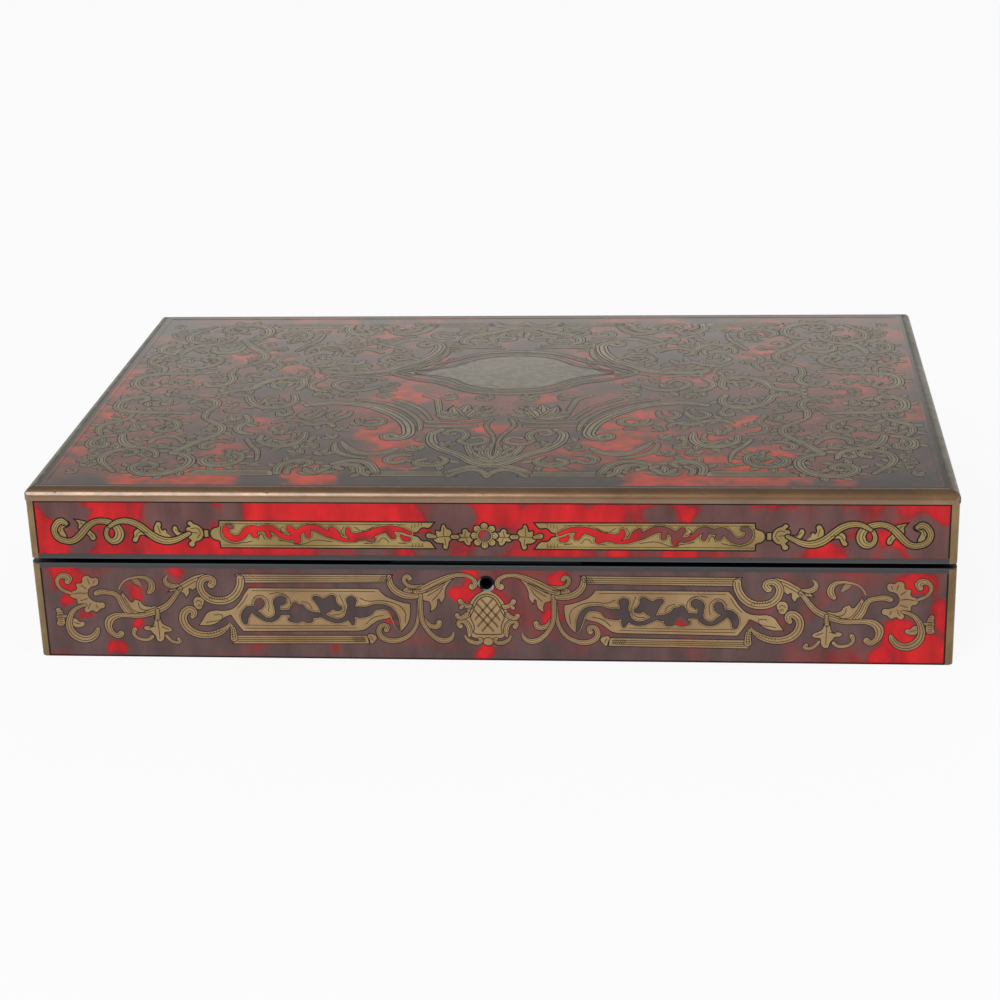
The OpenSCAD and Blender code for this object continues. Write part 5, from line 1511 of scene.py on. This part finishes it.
for row in ("front", "back"):
    for side in ("left", "right"):
        low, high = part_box(f"counter_lid_{row}_{side}")
        middle = (low + high) / 2
        half = (high - low) / 2 / MM
        petals = [*flower(8, 2.4, 7, 3.2), *flower(4, 9, 15, 2.6)]
        motif = drawing(strokes=[*inset_frame(half, LID_MARGIN), *petals], plates=[disc(0, 0, 2.2)])
        spot = Matrix.Translation((middle.x, middle.y, high.z))
        lay_panel(f"counter_{row}_{side}_inlay", "base", motif, spot, lid_brass, lid_shell, mirrored=False)

ceiling_low, ceiling_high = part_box("lid_ceiling_veneer")
ceiling_half = (ceiling_high - ceiling_low) / 2 / MM
ceiling_middle = (ceiling_low + ceiling_high) / 2
ceiling_place = (Matrix.Translation((ceiling_middle.x, ceiling_middle.y, ceiling_low.z))
                 @ Matrix.Rotation(radians(180), 4, "X"))
ceiling_line = drawing(strokes=inset_frame(ceiling_half, CEILING_MARGIN, CEILING_LINE))
lay_panel("lid_ceiling_inlay", "lid", ceiling_line, ceiling_place, lid_brass, lid_shell, mirrored=False)

# %% [markdown]
# ## Floor and light
# The box stands on white paper. Two soft lamps in front light the faces, and the world is what the gloss
# mirrors. Low down behind the box the world is brightest, and a long dim panel stands there, so the polished
# top carries a pale sheen that grows towards its back edge.

# %% Floor
FLOOR_HALF = 6
FIBRE_SCALE = 40
PAPER_STOPS = ((0.2, (0.88, 0.88, 0.88)), (0.8, (0.9, 0.9, 0.9)))
GLOW_SHARE = 0.9
WHITE = (1, 1, 1, 1)


def seen_or_mirrored(tree):
    rays = add_node(tree, "LightPath").outputs
    either = math_node(tree, "MAXIMUM", rays["Is Camera Ray"], rays["Is Glossy Ray"])
    return math_node(tree, "MAXIMUM", either, rays["Is Transmission Ray"])


floor_mesh = bpy.data.meshes.new("floor")
floor_form = bmesh.new()
bmesh.ops.create_grid(floor_form, x_segments=1, y_segments=1, size=FLOOR_HALF)
floor_form.to_mesh(floor_mesh)
floor_form.free()
floor = bpy.data.objects.new("floor", floor_mesh)
bpy.context.scene.collection.objects.link(floor)
floor_paper, paper_tree, paper_shader, paper_place = new_finish("floor_paper", Roughness=0.9)
fibres = noise(paper_tree, paper_place, FIBRE_SCALE, 2.0)
paper_tree.links.new(colour_ramp(paper_tree, fibres, PAPER_STOPS), paper_shader.inputs["Base Color"])
glow = add_node(paper_tree, "Emission", {"Color": WHITE, "Strength": 1.0}).outputs["Emission"]
share = math_node(paper_tree, "MULTIPLY", seen_or_mirrored(paper_tree), GLOW_SHARE)
lit = paper_shader.outputs["BSDF"]
blend = add_node(paper_tree, "MixShader", {"Fac": share, 1: lit, 2: glow}).outputs["Shader"]
paper_tree.links.new(blend, paper_tree.nodes["Material Output"].inputs["Surface"])
floor_mesh.materials.append(floor_paper)
print("floor:", 2 * FLOOR_HALF, "m wide")

# %% Lamps
LAMP_AIM = (0, 0, 0.03)
PANEL_AIM = (0, 0, 0.06)


def soft_lamp(name, place, aim, size, power, height=None):
    lamp = bpy.data.lights.new(name, "AREA")
    lamp.shape = "RECTANGLE" if height else "DISK"
    lamp.size = size
    lamp.size_y = height or size
    lamp.energy = power
    holder = bpy.data.objects.new(name, lamp)
    facing = (Vector(aim) - Vector(place)).to_track_quat("-Z", "Y")
    holder.matrix_world = Matrix.Translation(place) @ facing.to_matrix().to_4x4()
    bpy.context.scene.collection.objects.link(holder)


soft_lamp("front_lamp", (-0.75, -1.65, 1.2), LAMP_AIM, size=1.2, power=17.5)
soft_lamp("side_lamp", (1.6, -0.9, 1.0), LAMP_AIM, size=1.0, power=7.5)
soft_lamp("back_panel", (0, 2.1, 0.5), PANEL_AIM, size=3.0, power=1.6, height=0.4)

# %% World
WORLD_LIGHT = (0.53, 0.53, 0.53, 1)
MIRRORED_SKY = (0.26, 0.26, 0.26)
SHEEN_STOPS = ((0.296, (1.0, 0.94, 0.86)), (0.36, (0.10, 0.098, 0.10)), (0.8, MIRRORED_SKY))
BEHIND = (0.2, 0.75)

world = bpy.data.worlds.new("studio")
world.use_nodes = True
bpy.context.scene.world = world
sky = world.node_tree
way = add_node(sky, "TexCoord").outputs["Generated"]
parts_of_way = add_node(sky, "SeparateXYZ", {"Vector": way}).outputs
sheen = colour_ramp(sky, parts_of_way["Z"], SHEEN_STOPS)
behind = map_range(sky, parts_of_way["Y"], *BEHIND)
mirrored = mix_colours(sky, behind, (*MIRRORED_SKY, 1), sheen)
seen = mix_colours(sky, add_node(sky, "LightPath").outputs["Is Camera Ray"], mirrored, WHITE)
dim = mix_colours(sky, seen_or_mirrored(sky), WORLD_LIGHT, seen)
sky.links.new(dim, sky.nodes["Background"].inputs["Color"])
bpy.context.scene.view_settings.view_transform = "Standard"
print("world:", world.name)

# %% [markdown]
# ## Clearing up
# The nibs were only tools, so they are removed at the end.

# %% Put the nibs away
for nib in (broad_nib, graver_nib):
    bpy.data.objects.remove(nib)
